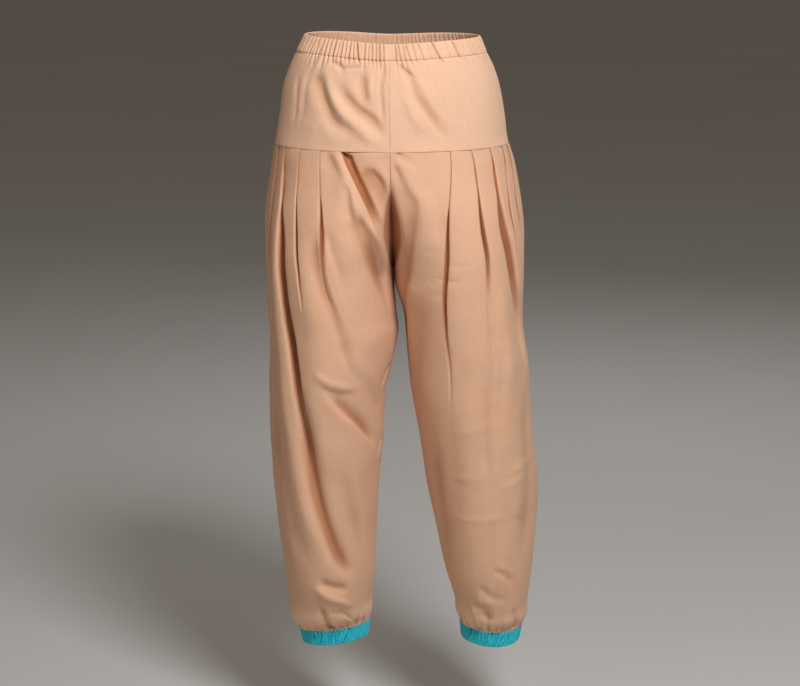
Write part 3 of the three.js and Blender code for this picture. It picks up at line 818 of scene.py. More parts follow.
# %% Folds of the right leg
RIGHT_LEG_FOLDS = [
    # from the first pleat towards the crotch
    Fold([(150, -153), (166, -162), (180, -176), (202, -206), (232, -243), (254, -271), (280, -303),
          (296, -330)], 5.0, 7, 16, 0.1, 0.3),
    Fold([(178, -144), (188, -161), (200, -176), (213, -190), (232, -210), (246, -228), (262, -250)],
         -5.0, 14, 9, 0.01, 0.45),
    Fold([(192, -190), (202, -210), (212, -234), (221, -252), (228, -268)],
         -5.5, 4.5, 9, 0.3, 0.35),
    Fold([(224, -242), (240, -263), (254, -281), (269, -305), (285, -331), (307, -370), (322, -412),
          (332, -460)],
         -11.0, 7, 20, 0.1, 0.6),
    Fold([(168, -258), (171, -279), (173, -301), (182, -347), (196, -393), (204, -440)],
         -6.0, 6, 13, 0.25, 0.4),
    Fold([(248, -250), (266, -278), (286, -312), (306, -348)], 4.0, 8, 9),
    Fold([(208, -186), (213, -182), (228, -180), (245, -193), (260, -209), (272, -229), (282, -256)],
         -6.5, 4, 15, 0.15, 0.4),
    Fold([(222, -170), (240, -178), (258, -194), (274, -220), (286, -256)], 2.6, 6, 5),
    # below the second and third pleats
    Fold([(140, -156), (160, -168), (178, -186), (194, -204)], -4.5, 7, 12, 0.2, 0.5),
    Fold([(178, -254), (188, -273), (197, -293), (206, -315), (214, -341), (218, -380)],
         -4.0, 9, 6, 0.3, 0.4),
    Fold([(196, -380), (202, -431), (217, -485), (246, -530)], -5.0, 15, 10, 0.3, 0.4),
    Fold([(150, -300), (158, -380), (168, -460), (190, -540), (214, -600)], 3.4, 18, 22),
    # the long lit fold beside the groove of the fourth pleat
    Fold([(76, -210), (84, -300), (88, -420), (100, -555), (112, -645), (121, -705), (127, -765),
          (134, -806), (148, -830), (162, -837)], 5.0, 13, 18, 0.2, 0.2),
    Fold([(62, -577), (76, -655), (88, -717), (92, -769), (98, -807), (104, -845)],
         -2.2, 12, 14, 0.3, 0.3),
    Fold([(150, -420), (154, -520), (166, -620), (172, -700)], 3.6, 18, 18),
    # knee and shin
    Fold([(168, -514), (184, -534), (203, -555), (225, -576), (254, -607), (286, -641)],
         -9.5, 15, 6, 0.25, 0.4),
    Fold([(150, -484), (180, -508), (208, -517), (234, -527)], 3.0, 5, 9, 0.3, 0.4),
    Fold([(158, -506), (184, -522), (214, -529), (238, -532)], -2.4, 5, 7, 0.3, 0.4),
    Fold([(206, -455), (236, -490), (272, -530), (300, -565)], 3.0, 14, 12),
    Fold([(322, -496), (304, -522), (290, -540)], -4.5, 6, 7, 0.1, 0.5),
    Fold([(312, -622), (292, -632), (268, -644)], -4.0, 5, 7, 0.1, 0.5),
    Fold([(316, -668), (296, -664), (276, -668)], -2.4, 4, 5, 0.1, 0.5),
    Fold([(180, -640), (202, -700), (206, -770), (196, -830)], -4.0, 16, 20),
    Fold([(60, -520), (54, -620), (60, -720), (66, -800)], -3.6, 18, 18),
    # above the cuff
    Fold([(126, -500), (134, -560), (139, -620), (143, -669), (147, -720), (153, -765),
          (161, -800), (172, -829), (184, -846)], -11.5, 12, 14, 0.35, 0.14),
    Fold([(112, -845), (128, -852), (144, -857), (164, -857)], -6.0, 9, 8, 0.3, 0.3),
    Fold([(106, -852), (118, -871), (137, -883), (156, -900)], 4.6, 6, 8, 0.2, 0.3),
    Fold([(101, -882), (100, -911), (86, -943)], -6.0, 3.6, 5.5, 0.35, 0.05),
    Fold([(108, -905), (120, -905), (131, -910), (134, -932)], -3.0, 5, 4),
    # side and back
    Fold([(8, -420), (2, -540), (12, -660), (10, -780)], -3.4, 22, 18),
    Fold([(-30, -430), (-34, -560), (-26, -700)], 3.2, 18, 18),
    Fold([(-170, -180), (-205, -230), (-238, -290), (-268, -340)], 4.4, 14, 9, 0.15, 0.35),
    Fold([(-196, -176), (-232, -222), (-262, -278), (-284, -330)], -4.2, 8, 12, 0.15, 0.35),
    Fold([(-110, -260), (-122, -340), (-136, -430), (-150, -520)], -4.2, 14, 18),
    Fold([(-180, -380), (-196, -450), (-214, -520), (-240, -580)], -4.8, 14, 18),
    Fold([(-205, -400), (-226, -460), (-250, -520)], 3.4, 12, 12),
    Fold([(-150, -560), (-176, -600), (-214, -630), (-250, -644)], -5.2, 10, 16, 0.3, 0.4),
    Fold([(-120, -600), (-160, -640), (-206, -668), (-246, -676)], 4.4, 12, 14, 0.3, 0.4),
    Fold([(-90, -640), (-132, -682), (-180, -706), (-220, -708)], -4.4, 9, 15, 0.3, 0.4),
    Fold([(-80, -720), (-104, -790), (-96, -860)], 3.0, 16, 14),
    Fold([(-118, -880), (-100, -904), (-82, -938)], -2.8, 5, 6, 0.3, 0.05),
]
print("folds of the right leg:", len(RIGHT_LEG_FOLDS))

# %% Folds of the left leg
LEFT_LEG_FOLDS = [
    # the turn of the inner thigh
    Fold([(236, -152), (240, -181), (239, -205), (234, -225), (242, -247), (254, -273), (269, -309),
          (286, -357), (302, -405), (312, -470), (304, -545)], 5.5, 9, 24, 0.05, 0.35),
    Fold([(252, -190), (254, -215), (256, -240), (264, -268), (280, -304), (300, -352), (322, -410),
          (336, -480)], -5.0, 20, 12, 0.3, 0.35),
    Fold([(262, -166), (254, -178), (250, -192)], -2.2, 4, 5, 0.3, 0.3),
    Fold([(232, -196), (226, -206), (222, -220)], -1.6, 3, 4, 0.3, 0.3),
    Fold([(176, -318), (200, -322), (224, -320)], -1.0, 3, 4, 0.3, 0.3),
    Fold([(186, -344), (208, -346), (238, -340)], -1.0, 3, 5, 0.3, 0.3),
    Fold([(196, -366), (222, -370), (250, -366)], -0.9, 3, 4, 0.3, 0.3),
    Fold([(238, -150), (230, -160), (221, -168), (216, -184)], -4.0, 5, 5, 0.1, 0.5),
    Fold([(216, -176), (212, -215), (216, -250), (226, -300)], -3.0, 10, 12),
    # below the pleats
    Fold([(146, -300), (142, -360), (134, -420), (130, -480)], -3.0, 12, 10),
    Fold([(80, -360), (66, -410), (56, -460), (52, -520)], -5.0, 12, 9, 0.35, 0.4),
    Fold([(84, -250), (84, -300), (68, -360), (46, -420)], 3.6, 8, 12),
    Fold([(120, -330), (116, -400), (108, -470), (112, -560)], 3.4, 14, 18),
    # calm folds down the front
    Fold([(122, -400), (118, -470), (126, -540), (132, -610)], -2.6, 8, 8),
    Fold([(152, -480), (152, -580), (150, -680), (148, -760)], -3.0, 9, 12),
    Fold([(182, -500), (186, -620), (180, -740), (164, -830)], 3.2, 20, 20),
    Fold([(60, -520), (66, -640), (72, -760), (66, -850)], -4.6, 16, 18),
    Fold([(250, -600), (252, -680), (236, -760), (214, -830)], -4.4, 20, 16),
    # faint creases across
    Fold([(210, -592), (175, -589), (140, -577)], 1.2, 4, 6, 0.3, 0.4),
    Fold([(222, -667), (184, -669), (140, -661)], 1.2, 4, 6, 0.3, 0.4),
    Fold([(224, -737), (181, -739), (144, -737), (100, -733)], 1.2, 4, 6, 0.3, 0.3),
    Fold([(125, -664), (95, -656), (62, -652), (40, -655)], 1.6, 4, 6, 0.3, 0.3),
    Fold([(137, -688), (106, -680), (78, -668), (56, -666)], 1.4, 4, 6, 0.3, 0.4),
    Fold([(112, -737), (92, -743), (66, -750)], -1.8, 4, 6, 0.3, 0.5),
    Fold([(150, -612), (156, -632), (150, -650)], -0.9, 5, 4),
    # above the cuff
    Fold([(133, -826), (108, -836), (86, -858)], -2.6, 3, 6),
    Fold([(126, -818), (104, -827), (82, -846)], 1.8, 3, 6),
    Fold([(152, -852), (117, -874), (84, -882)], -2.8, 4, 7),
    Fold([(150, -888), (130, -893), (108, -899)], -2.6, 3.5, 6),
    Fold([(146, -880), (126, -884), (104, -890)], 1.8, 4, 6),
    Fold([(150, -893), (128, -914), (108, -941)], 2.6, 3, 5, 0.3, 0.05),
    Fold([(128, -899), (113, -907), (94, -921)], -4.0, 4, 5),
    Fold([(71, -895), (58, -917), (44, -940)], -4.6, 4, 6, 0.3, 0.05),
    Fold([(170, -905), (164, -922), (150, -940)], -4.2, 4, 5, 0.3, 0.05),
    # side and back
    Fold([(10, -400), (0, -520), (-6, -640), (4, -760)], -3.2, 20, 20),
    Fold([(-40, -420), (-46, -560), (-36, -720), (-30, -820)], 3.0, 18, 20),
    Fold([(-160, -178), (-196, -228), (-232, -290), (-264, -346)], -4.4, 9, 13, 0.15, 0.35),
    Fold([(-184, -172), (-224, -220), (-258, -276), (-284, -334)], 4.2, 12, 10, 0.15, 0.35),
    Fold([(-106, -250), (-128, -340), (-140, -440), (-146, -560)], -5.0, 13, 18, 0.2, 0.4),
    Fold([(-190, -370), (-214, -450), (-236, -520), (-246, -600)], -4.6, 16, 14),
    Fold([(-160, -400), (-176, -480), (-190, -560), (-196, -650)], 3.2, 16, 20),
    Fold([(-100, -610), (-150, -634), (-206, -640), (-262, -630)], -4.8, 10, 15, 0.35, 0.4),
    Fold([(-110, -648), (-160, -668), (-214, -674), (-262, -662)], 4.0, 12, 14, 0.35, 0.4),
    Fold([(-60, -690), (-112, -712), (-170, -716), (-216, -704)], -4.0, 9, 14, 0.3, 0.4),
    Fold([(-120, -740), (-132, -810), (-116, -880)], 2.8, 16, 14),
    Fold([(-60, -880), (-56, -908), (-48, -940)], -3.0, 5, 6, 0.3, 0.05),
]
print("folds of the left leg:", len(LEFT_LEG_FOLDS))

# %% [markdown]
# ## Legs: the gathered foot
#
# A leg's foot is half as wide again as its cuff, and the elastic draws it in. So short gathers
# stand all round above the cuff, none like its neighbour, and the cloth rolls out a little over
# the band. Each gather has a seeded place, height, depth and lean. They are placed by their share
# of the way round, because the leg narrows and they run with it.

# %% Hem gathers
Gather = namedtuple("Gather", "share top depth width lean")
HEM_GATHERS = 42
GATHER_STRAY = 0.36
BLOUSE = 2.6
BLOUSE_MIDDLE = -924.0
BLOUSE_HALF = 15.0
HEM_ZONE = 70.0
HEM_FLATTENED = 0.8
HEM_FLAT_HEIGHT = 4.0


def hem_gathers(seed):
    """Gathers all round a leg above its cuff, no two alike."""
    random = np.random.default_rng(seed)
    places = np.arange(HEM_GATHERS) + random.uniform(-GATHER_STRAY, GATHER_STRAY, HEM_GATHERS)
    return [
        Gather(
            2 * (place + 0.5) / HEM_GATHERS - 1,
            FOOT + random.uniform(16, 62) * random.choice([0.6, 1.0]),
            random.uniform(1.4, 4.4),
            random.uniform(1.9, 4.0),
            random.uniform(-0.3, 0.3),
        )
        for place in places
    ]


def hem_out(gathers, share, reach, z):
    """The gathers and the roll of the cloth above a cuff."""
    low = z < FOOT + HEM_ZONE
    out = np.zeros_like(share)
    above = z[low] - FOOT
    pressed = 1 - HEM_FLATTENED * np.exp(-((above / HEM_FLAT_HEIGHT) ** 2))
    for gather in gathers:
        gap = (share[low] - gather.share) * reach[low] - gather.lean * above
        grown = smooth(-above, FOOT - gather.top, 0) * pressed
        out[low] -= gather.depth * grown * np.exp(-((gap / gather.width) ** 2))
    return out + BLOUSE * np.exp(-(((z - BLOUSE_MIDDLE) / BLOUSE_HALF) ** 2))


print("gathers above each cuff:", HEM_GATHERS)

# %% The way into the crotch
# The cloth is drawn back along the centre seam on its way into the crotch. The pairs are
# millimetres below the waist.
RECESS = 30.0
RECESS_GROWS = (190, 262)
RECESS_ENDS = (330, 354)
RECESS_WIDENS = (200, 300)


def recess(to_seam, z):
    """How far back the cloth is drawn along the centre seam."""
    depth = RECESS * smooth(-z, *RECESS_GROWS) * (1 - smooth(-z, *RECESS_ENDS))
    width = 4.5 + 8 * smooth(-z, *RECESS_WIDENS)
    return depth * np.exp(-((to_seam / width) ** 2))


print(f"the seam is drawn back by up to {recess(0, -RECESS_WIDENS[1]):.0f} mm")

# %% Rows of a leg
RISE_ROWS = 56
RISE_PULL = 1.5
LOWER_ROWS = 122
ROWS_AT_SEAM = (0, 0.5, 1.1, 2.0)
ROWS_AT_FOOT = (2.0, 0.9, -0.2)

rise = YOKE_SEAM - SEAM_LINE / 2 - (YOKE_SEAM - CROTCH) * (
    1 - (1 - np.linspace(0, 1, RISE_ROWS + 1)) ** RISE_PULL
)
lower = CROTCH + (FOOT - CROTCH) * np.linspace(0, 1, LOWER_ROWS + 1)[1:]
LEG_ROWS = np.concatenate([
    rise[:1] - np.array(ROWS_AT_SEAM), rise[1:], lower[:-1], FOOT + np.array(ROWS_AT_FOOT)
])
print("rows of a leg:", len(LEG_ROWS))

# %% Build the legs
SEAM_CALM = 12.0
FOLD_HOLLOW = Hollow(0.6, 1.5, 10)
CROTCH_HOLLOW = Hollow(0.95, 2, 12)
GATHER_HOLLOW = Hollow(0.8, -1.5, 2.5)


def leg(half, pleats, folds, seed):
    """One leg: pleats, folds and gathers on its sections, as a finished piece of cloth."""
    cuts = [section(half, z) for z in LEG_ROWS]
    columns = np.array([leg_columns(pleats, cut) for cut in cuts])
    columns[:, :, :2] = np.array([soften(row[:, :2], 2) for row in columns])
    distance, layer, worn, dark = columns.transpose(2, 0, 1)
    z = np.repeat(LEG_ROWS[:, None], distance.shape[1], 1)
    reach = np.repeat(np.array([cut.reach for cut in cuts])[:, None], distance.shape[1], 1)
    closed = np.array([closing(level) for level in LEG_ROWS])[:, None]
    to_seam = reach - np.abs(distance)
    flat, height = distance.ravel(), z.ravel()

    moved = (folds_out(folds, flat, height) + drift(flat, height, seed)).reshape(z.shape)
    moved = moved * smooth(to_seam, 0, SEAM_CALM) * smooth(YOKE_SEAM - z, -2, 4)
    drawn = recess(to_seam, z)
    gathered = hem_out(hem_gathers(seed), (distance / reach).ravel(), reach.ravel(), height)
    gathered = gathered.reshape(z.shape)
    # Painted shade, kept as the mark `inside`: darker in fold troughs, in pleat grooves (dark), where
    # the seam is drawn into the crotch, and between the gathers.
    inside = painted_shade_mark(-moved, FOLD_HOLLOW) + dark + painted_shade_mark(drawn, CROTCH_HOLLOW)
    inside += painted_shade_mark(-gathered, GATHER_HOLLOW)
    moved += gathered

    # The cloth dips at its seams, but not at the crotch, where the two legs part.
    flat_at_crotch = 1 - closed + smooth(CROTCH - z, 4, 20)
    moved += turned_in(to_seam) * flat_at_crotch + turned_in(YOKE_SEAM - z, 0.3)
    moved += turned_in(z - FOOT, 0.5)
    points = np.array([
        on_section(cut, d, out) for cut, d, out in zip(cuts, distance, layer + moved)
    ])
    points[..., 1] += np.sign(distance) * drawn

    # Down to the crotch the cloth stays on its own side of the centre seam.
    seam = np.array([inner_edge(half, z) + half.side * SEAM_GAP / 2 for z in LEG_ROWS])[:, None]
    above = (LEG_ROWS >= CROTCH - 1)[:, None]
    outermost = np.maximum if half.side > 0 else np.minimum
    points[..., 0] = np.where(above, outermost(points[..., 0], seam), points[..., 0])

    spread = np.linalg.norm(np.diff(points[0], axis=0), axis=1)
    u = np.concatenate([[0], np.cumsum(spread)]) * MM
    name = f"leg_cloth_{half.name}"
    marks = {"worn": worn, "inside": np.minimum(inside, 1)}
    piece = cloth_from_grid(
        name, points, flat_map(u, LEG_ROWS * MM), half.side, peach_cotton, marks
    )
    print(f"{name}: {u[-1]:.3f} m of cloth at the yoke seam")
    return piece


leg_left = leg(LEFT, LEFT_PLEATS, LEFT_LEG_FOLDS, 11)
leg_right = leg(RIGHT, RIGHT_PLEATS, RIGHT_LEG_FOLDS, 12)

# %% [markdown]
# ## Tucks of the waist
#
# Elastic in the casing draws the cloth together in small vertical tucks. They are close together
# where the elastic pulls most, at the front of the right half, and few and slanted on the left.
# A tuck doesn't stop at the stitched line: it runs on into the yoke and fades. So one list of
# tucks serves both pieces. `at` is the distance from the side line at the line of stitches. At
# other heights a tuck keeps its share of the way round, apart from its `lean`, which is how far it
# moves towards the centre for each millimetre down. `below` is how far down it reaches.

# %% Tucks
Tuck = namedtuple("Tuck", "at lean depth width below")


def row_of_tucks(start, end, pitch, depth, seed):
    """Irregular tucks between two distances from the side line."""
    random = np.random.default_rng(seed)
    tucks, at = [], start
    while at < end:
        tucks.append(Tuck(
            at, random.uniform(-0.14, 0.14), depth * random.uniform(0.5, 1.15),
            random.uniform(1.3, 2.1), random.uniform(8, 30),
        ))
        at += pitch * random.uniform(0.7, 1.35)
    return tucks


RIGHT_TUCKS = [
    *row_of_tucks(-192, -66, 7.6, 1.3, 21),
    *row_of_tucks(-60, 28, 8.4, 1.1, 22),
    *row_of_tucks(33, 84, 6.0, 1.2, 23),
    Tuck(90, 0.00, 1.9, 1.8, 30), Tuck(98, 0.08, 1.3, 1.6, 14), Tuck(106, 0.04, 2.2, 1.9, 20),
    Tuck(112, -0.05, 1.1, 1.4, 10), Tuck(119, 0.03, 1.8, 1.7, 16), Tuck(126, 0.10, 1.2, 1.6, 12),
    Tuck(132, 0.00, 1.8, 1.8, 12), Tuck(140, 0.15, 1.1, 1.4, 10), Tuck(148, 0.24, 2.3, 1.8, 8),
    Tuck(157, 0.06, 1.5, 1.6, 26), Tuck(163, 0.02, 1.1, 1.4, 12), Tuck(169, 0.08, 1.6, 1.5, 16),
    Tuck(175, 0.05, 1.4, 1.4, 22), Tuck(181, 0.08, 1.8, 1.5, 34), Tuck(187, 0.05, 1.6, 1.5, 44),
]
LEFT_TUCKS = [
    *row_of_tucks(-196, -60, 8.0, 1.3, 24),
    *row_of_tucks(-54, 22, 12.0, 1.0, 25),
    Tuck(30, -0.15, 1.0, 1.6, 8), Tuck(41, -0.20, 1.3, 1.7, 8), Tuck(57, -0.25, 1.5, 1.8, 10),
    Tuck(72, -0.15, 0.8, 1.5, 8), Tuck(88, -0.28, 2.0, 1.8, 12), Tuck(104, -0.20, 0.9, 1.5, 6),
    Tuck(122, -0.40, 2.0, 1.9, 12), Tuck(136, -0.20, 0.9, 1.5, 8), Tuck(148, -0.30, 1.3, 1.7, 10),
    Tuck(160, -0.18, 1.3, 1.6, 10), Tuck(169, -0.28, 1.6, 1.6, 18), Tuck(177, -0.12, 1.4, 1.5, 24),
    Tuck(184, -0.15, 1.6, 1.5, 30), Tuck(191, -0.05, 1.6, 1.5, 30),
]
TUCKS = {"left": LEFT_TUCKS, "right": RIGHT_TUCKS}
print("tucks:", {name: len(tucks) for name, tucks in TUCKS.items()})

# %% Press the tucks in
CASING_FOOT = -CASING_HALF
TUCK_PRESS = 2.3
TUCK_CALM = 3.0
TUCK_WIDENS = 0.05
TUCK_WIDEST_AT = 30
# The cloth that a groove takes in stands up beside it, in shoulders.
SHOULDER_HEIGHT = 0.42
SHOULDER_WIDTH = 2.4
TUCK_FLAT_BEYOND = 4.5
TUCK_REACH = {half.name: section(half, CASING_FOOT).reach for half in (LEFT, RIGHT)}


def tucks_out(cut, distance):
    """How far the tucks move the cloth out: grooves, with the cloth between them pushed out."""
    name = cut.half.name
    place = distance * TUCK_REACH[name] / cut.reach
    drop = CASING_FOOT - cut.z
    out = np.zeros_like(distance)
    for tuck in TUCKS[name]:
        gap = place - tuck.at - tuck.lean * drop
        width = tuck.width * (1 + TUCK_WIDENS * np.clip(drop, 0, TUCK_WIDEST_AT))
        near = np.abs(gap) < TUCK_FLAT_BEYOND * width
        groove = np.exp(-((gap[near] / width) ** 2))
        groove -= SHOULDER_HEIGHT * np.exp(-((gap[near] / (SHOULDER_WIDTH * width)) ** 2))
        out[near] -= TUCK_PRESS * tuck.depth * (1 - smooth(drop, 0, tuck.below)) * groove
    return out * smooth(cut.reach - np.abs(distance), 0, TUCK_CALM)


print("half the girth at the line of stitches in mm:", {k: round(v) for k, v in TUCK_REACH.items()})

# %% [markdown]
# ## Yoke
#
# The yoke is smooth, since it is cut to the hips. What folds it has come from strain: a fan of
# drag folds from the waist towards the centre seam on the right, one soft trough on the left, and
# the ends of the tucks along its top. The centre seam turns in a little.

# %% Yoke folds
YOKE_FOLDS = {
    "right": [
        Fold([(86, -30), (95, -43), (108, -54), (126, -78), (142, -101), (160, -114), (190, -124)],
             -6.2, 8.5, 11, 0.2, 0.35),
        Fold([(104, -24), (126, -57), (149, -85), (174, -105), (199, -123), (228, -144)],
             4.0, 7, 8, 0.3, 0.25),
        Fold([(134, -46), (160, -71), (183, -88), (200, -98), (214, -110), (232, -131)],
             -6.0, 7, 9, 0.25, 0.3),
        Fold([(163, -26), (175, -47), (185, -65), (197, -90)], -5.2, 7, 8, 0.3, 0.4),
        Fold([(178, -30), (188, -52), (198, -76)], 2.6, 5, 5),
        Fold([(107, -20), (126, -25), (142, -36)], -3.6, 3, 4),
        Fold([(128, -27), (148, -26), (168, -23)], -2.2, 2.4, 3),
        Fold([(191, -14), (201, -39), (216, -79), (228, -118)], -3.2, 3.5, 4, 0.1, 0.3),
        Fold([(57, -34), (67, -77), (71, -126)], -1.8, 5, 5),
        Fold([(76, -24), (82, -63), (88, -108)], -1.6, 6, 5),
        Fold([(-60, -20), (-92, -52), (-130, -84), (-176, -108)], -2.8, 10, 12, 0.25, 0.35),
        Fold([(-96, -20), (-124, -50), (-160, -78), (-200, -96)], 2.2, 9, 10, 0.25, 0.35),
        Fold([(-150, -20), (-166, -44), (-188, -66)], -2.4, 6, 8),
        Fold([(-20, -24), (-26, -70), (-20, -124)], -1.0, 8, 8),
    ],
    "left": [
        Fold([(192, -16), (185, -41), (187, -66), (178, -87), (166, -113), (153, -143)],
             -4.6, 7, 8, 0.15, 0.35),
        Fold([(176, -30), (172, -62), (160, -94), (142, -128)], 2.4, 8, 10),
        Fold([(190, -15), (186, -29), (178, -40)], -2.6, 3.2, 4),
        Fold([(206, -60), (202, -90), (190, -124)], 2.4, 7, 8),
        Fold([(120, -40), (112, -80), (108, -126)], -1.4, 12, 12),
        Fold([(-50, -24), (-84, -58), (-124, -92), (-166, -118)], -2.6, 10, 12, 0.25, 0.35),
        Fold([(-90, -24), (-122, -56), (-160, -86), (-196, -104)], 2.2, 9, 10, 0.25, 0.35),
        Fold([(-140, -20), (-162, -44), (-190, -62)], -2.4, 6, 8),
        Fold([(30, -30), (26, -80), (32, -130)], -0.8, 10, 10),
    ],
}
print("folds of the yoke:", {name: len(folds) for name, folds in YOKE_FOLDS.items()})

# %% Build the yoke
YOKE_COLUMNS = 340
YOKE_TOP = CASING_FOOT - SEAM_LINE
YOKE_FOOT = YOKE_SEAM + SEAM_LINE / 2
YOKE_ROWS = denser_at_ends(YOKE_TOP, YOKE_FOOT, 72)
YOKE_MEASURED_AT = -100
YOKE_FOLD_SHARE = 0.85
YOKE_DRIFT_SHARE = 0.7
YOKE_CALM = 14
YOKE_FOOT_CALM = 22
YOKE_HOLLOW = Hollow(0.4, 1.0, 5.5)


def yoke(half, seed):
    """One half of the yoke, from the centre front round the side to the centre back."""
    rows, inside, distances = [], [], []
    for z in YOKE_ROWS:
        cut = section(half, z)
        distance = denser_at_ends(cut.reach, -cut.reach, YOKE_COLUMNS)
        height = np.full_like(distance, z)
        to_seam = cut.reach - np.abs(distance)
        out = YOKE_FOLD_SHARE * folds_out(YOKE_FOLDS[half.name], distance, height)
        out += YOKE_DRIFT_SHARE * drift(distance, height, seed)
        out *= smooth(to_seam, 0, YOKE_CALM) * smooth(z, YOKE_SEAM, YOKE_SEAM + YOKE_FOOT_CALM)
        out += tucks_out(cut, distance)
        # Painted shade in the troughs and tucks of the yoke, kept as the mark `inside`.
        inside.append(painted_shade_mark(-out, YOKE_HOLLOW))
        out += turned_in(to_seam) + turned_in(z - YOKE_FOOT, 0.3)
        out += turned_in(YOKE_TOP - z, 0.45, 1.0)
        rows.append(on_section(cut, distance, out))
        distances.append(distance)
    # The flat width is measured at one height.
    measured = distances[np.sum(YOKE_ROWS > YOKE_MEASURED_AT) - 1]
    uv = flat_map((measured[0] - measured) * MM, YOKE_ROWS * MM)
    marks = {"inside": np.array(inside)}
    name = f"yoke_cloth_{half.name}"
    return cloth_from_grid(name, np.array(rows), uv, half.side, peach_cotton, marks)


yoke_left = yoke(LEFT, 31)
yoke_right = yoke(RIGHT, 32)

# %% [markdown]
# ## Waist casing
#
# The casing is a strip folded double over the elastic, so its cross-section is a long flat ring:
# round at the top where the strip is folded, and pinched at the foot where it is stitched to the
# yoke. The ring goes round the waist with the tucks pressed into it. Both faces carry them, the
# inner one less.

# %% Bands over elastic
Band = namedtuple("Band", "half_height wall rounding pinch")
CASING_BAND = Band(CASING_HALF, wall=3.0, rounding=9, pinch=0.25)
CUFF_BAND = Band(CUFF_HEIGHT / 2, wall=2.6, rounding=8, pinch=0.0)


def band_profile(band, faces):
    """A band's cross-section as heights and half thicknesses, up the outside and down the inside."""
    t = np.linspace(-1, 1, faces)
    heights = np.sign(t) * (1 - (1 - np.abs(t)) ** 1.6)
    thick = (1 - np.abs(heights) ** band.rounding) ** 0.5
    thick *= 1 - band.pinch * np.exp(-(((heights + 0.84) / 0.10) ** 2))
    up_and_down = np.concatenate([heights, heights[-2:0:-1]])
    out_and_in = np.concatenate([thick, -thick[-2:0:-1]])
    return up_and_down * band.half_height, out_and_in * band.wall / 2


def band_map(row, heights, thick):
    """A band's UVs: u along one row of its points, v round its cross-section."""
    step = np.linalg.norm(np.diff(row, axis=0, append=row[:1]), axis=1)
    u = np.concatenate([[0], np.cumsum(step)]) * MM
    v = np.concatenate([[0], np.cumsum(np.hypot(np.diff(heights), np.diff(thick)))]) * MM
    return flat_map(u, np.append(v, v[-1] + MM))


def evenly_round(cut, columns):
    """Distances from the side line at even steps, from the front seam round to the back seam."""
    return cut.reach * (1 - 2 * (np.arange(columns) + 0.5) / columns)


def both_halves(z, columns):
    """Cuts and distances of a ring round the whole waist, from the centre front to the left."""
    cuts = [section(half, z) for half in (LEFT, RIGHT)]
    return [(cut, cut.half.side * evenly_round(cut, columns)) for cut in cuts]


print("walls of the casing and the cuffs in mm:", CASING_BAND.wall, CUFF_BAND.wall)

# %% Build the casing
CASING_COLUMNS = 520
CASING_FACES = 15
CASING_MEASURED_ROW = 8
INNER_TUCKS = 0.45
TUCKS_AT_TOP = 0.75
TUCK_HOLLOW = Hollow(0.8, 0.5, 3.4)
WAVER = 0.25


def casing():
    """The folded strip over the waist elastic, with the tucks pressed into both its faces."""
    heights, thick = band_profile(CASING_BAND, CASING_FACES)
    rows, inside = [], []
    for z, out in zip(heights, thick):
        top = TUCKS_AT_TOP + (1 - TUCKS_AT_TOP) * smooth(CASING_HALF - z, 0, 5)
        share = 1.0 if out >= 0 else INNER_TUCKS
        row, deep = [], []
        for cut, distance in both_halves(z, CASING_COLUMNS):
            tucks = tucks_out(cut, distance)
            waver = WAVER * np.sin(distance / 21 + 1.3) * smooth(z, 0, CASING_HALF)
            row.append(on_section(cut, distance, out + tucks * top * share, waver))
            # Painted shade in the grooves of the tucks, kept as the mark `inside`.
            deep.append(painted_shade_mark(-tucks, TUCK_HOLLOW))
        rows.append(np.concatenate(row))
        inside.append(np.concatenate(deep))
    points = np.array(rows)
    uv = band_map(points[CASING_MEASURED_ROW], heights, thick)
    marks = {"inside": np.array(inside)}
    piece = grid_mesh("casing_cloth", points, uv, True, True, flip=True, marks=marks)
    piece.data.materials.append(peach_cotton)
    print(f"casing_cloth: {len(piece.data.polygons)} faces, {uv[0, -1, 0]:.3f} m round")
    return piece


waist_casing = casing()

# %% [markdown]
# ## Cuffs
#
# A cuff is a band of turquoise cotton, folded double over elastic like the casing but much more
# tightly gathered: puckers stand every 4 or 5 mm, and three rows of stitches hold the elastic. The
# puckers follow a rule, so Geometry Nodes press them in. The plain band carries attributes: how far
# round a point is in millimetres, its height, how strongly it may move, and the outward direction.
# The tree turns the first two into an uneven row of grooves and moves the points along the last
# one. They could be modelled in the grid like the tucks, but a tree is quicker to adjust by eye.
#
# `Shaping` gives a tree its named inputs, and ends it as one mesh in one material.

# %% Geometry Nodes helpers


class Shaping(Nodes):
    """A Geometry Nodes tree with named numbers as its inputs."""

    def __init__(self, name, **numbers):
        super().__init__(bpy.data.node_groups.new(name, "GeometryNodeTree"))
        face = self.tree.interface
        face.new_socket("Geometry", in_out="INPUT", socket_type="NodeSocketGeometry")
        for label, number in numbers.items():
            kind = "NodeSocketInt" if isinstance(number, int) else "NodeSocketFloat"
            face.new_socket(label, in_out="INPUT", socket_type=kind).default_value = number
        face.new_socket("Material", in_out="INPUT", socket_type="NodeSocketMaterial")
        face.new_socket("Geometry", in_out="OUTPUT", socket_type="NodeSocketGeometry")
        sockets = self.tree.nodes.new("NodeGroupInput").outputs
        self.given = {socket.name: Value(self, socket) for socket in sockets}

    def ended(self, shaped):
        """The tree, ended in Realize Instances and Set Material."""
        real = self.add("GeometryNodeRealizeInstances", None, {"Geometry": shaped})
        sockets = {"Geometry": real, "Material": self.given["Material"]}
        dressed = self.add("GeometryNodeSetMaterial", None, sockets)
        self.plug(self.tree.nodes.new("NodeGroupOutput").inputs[0], dressed)
        return self.tree


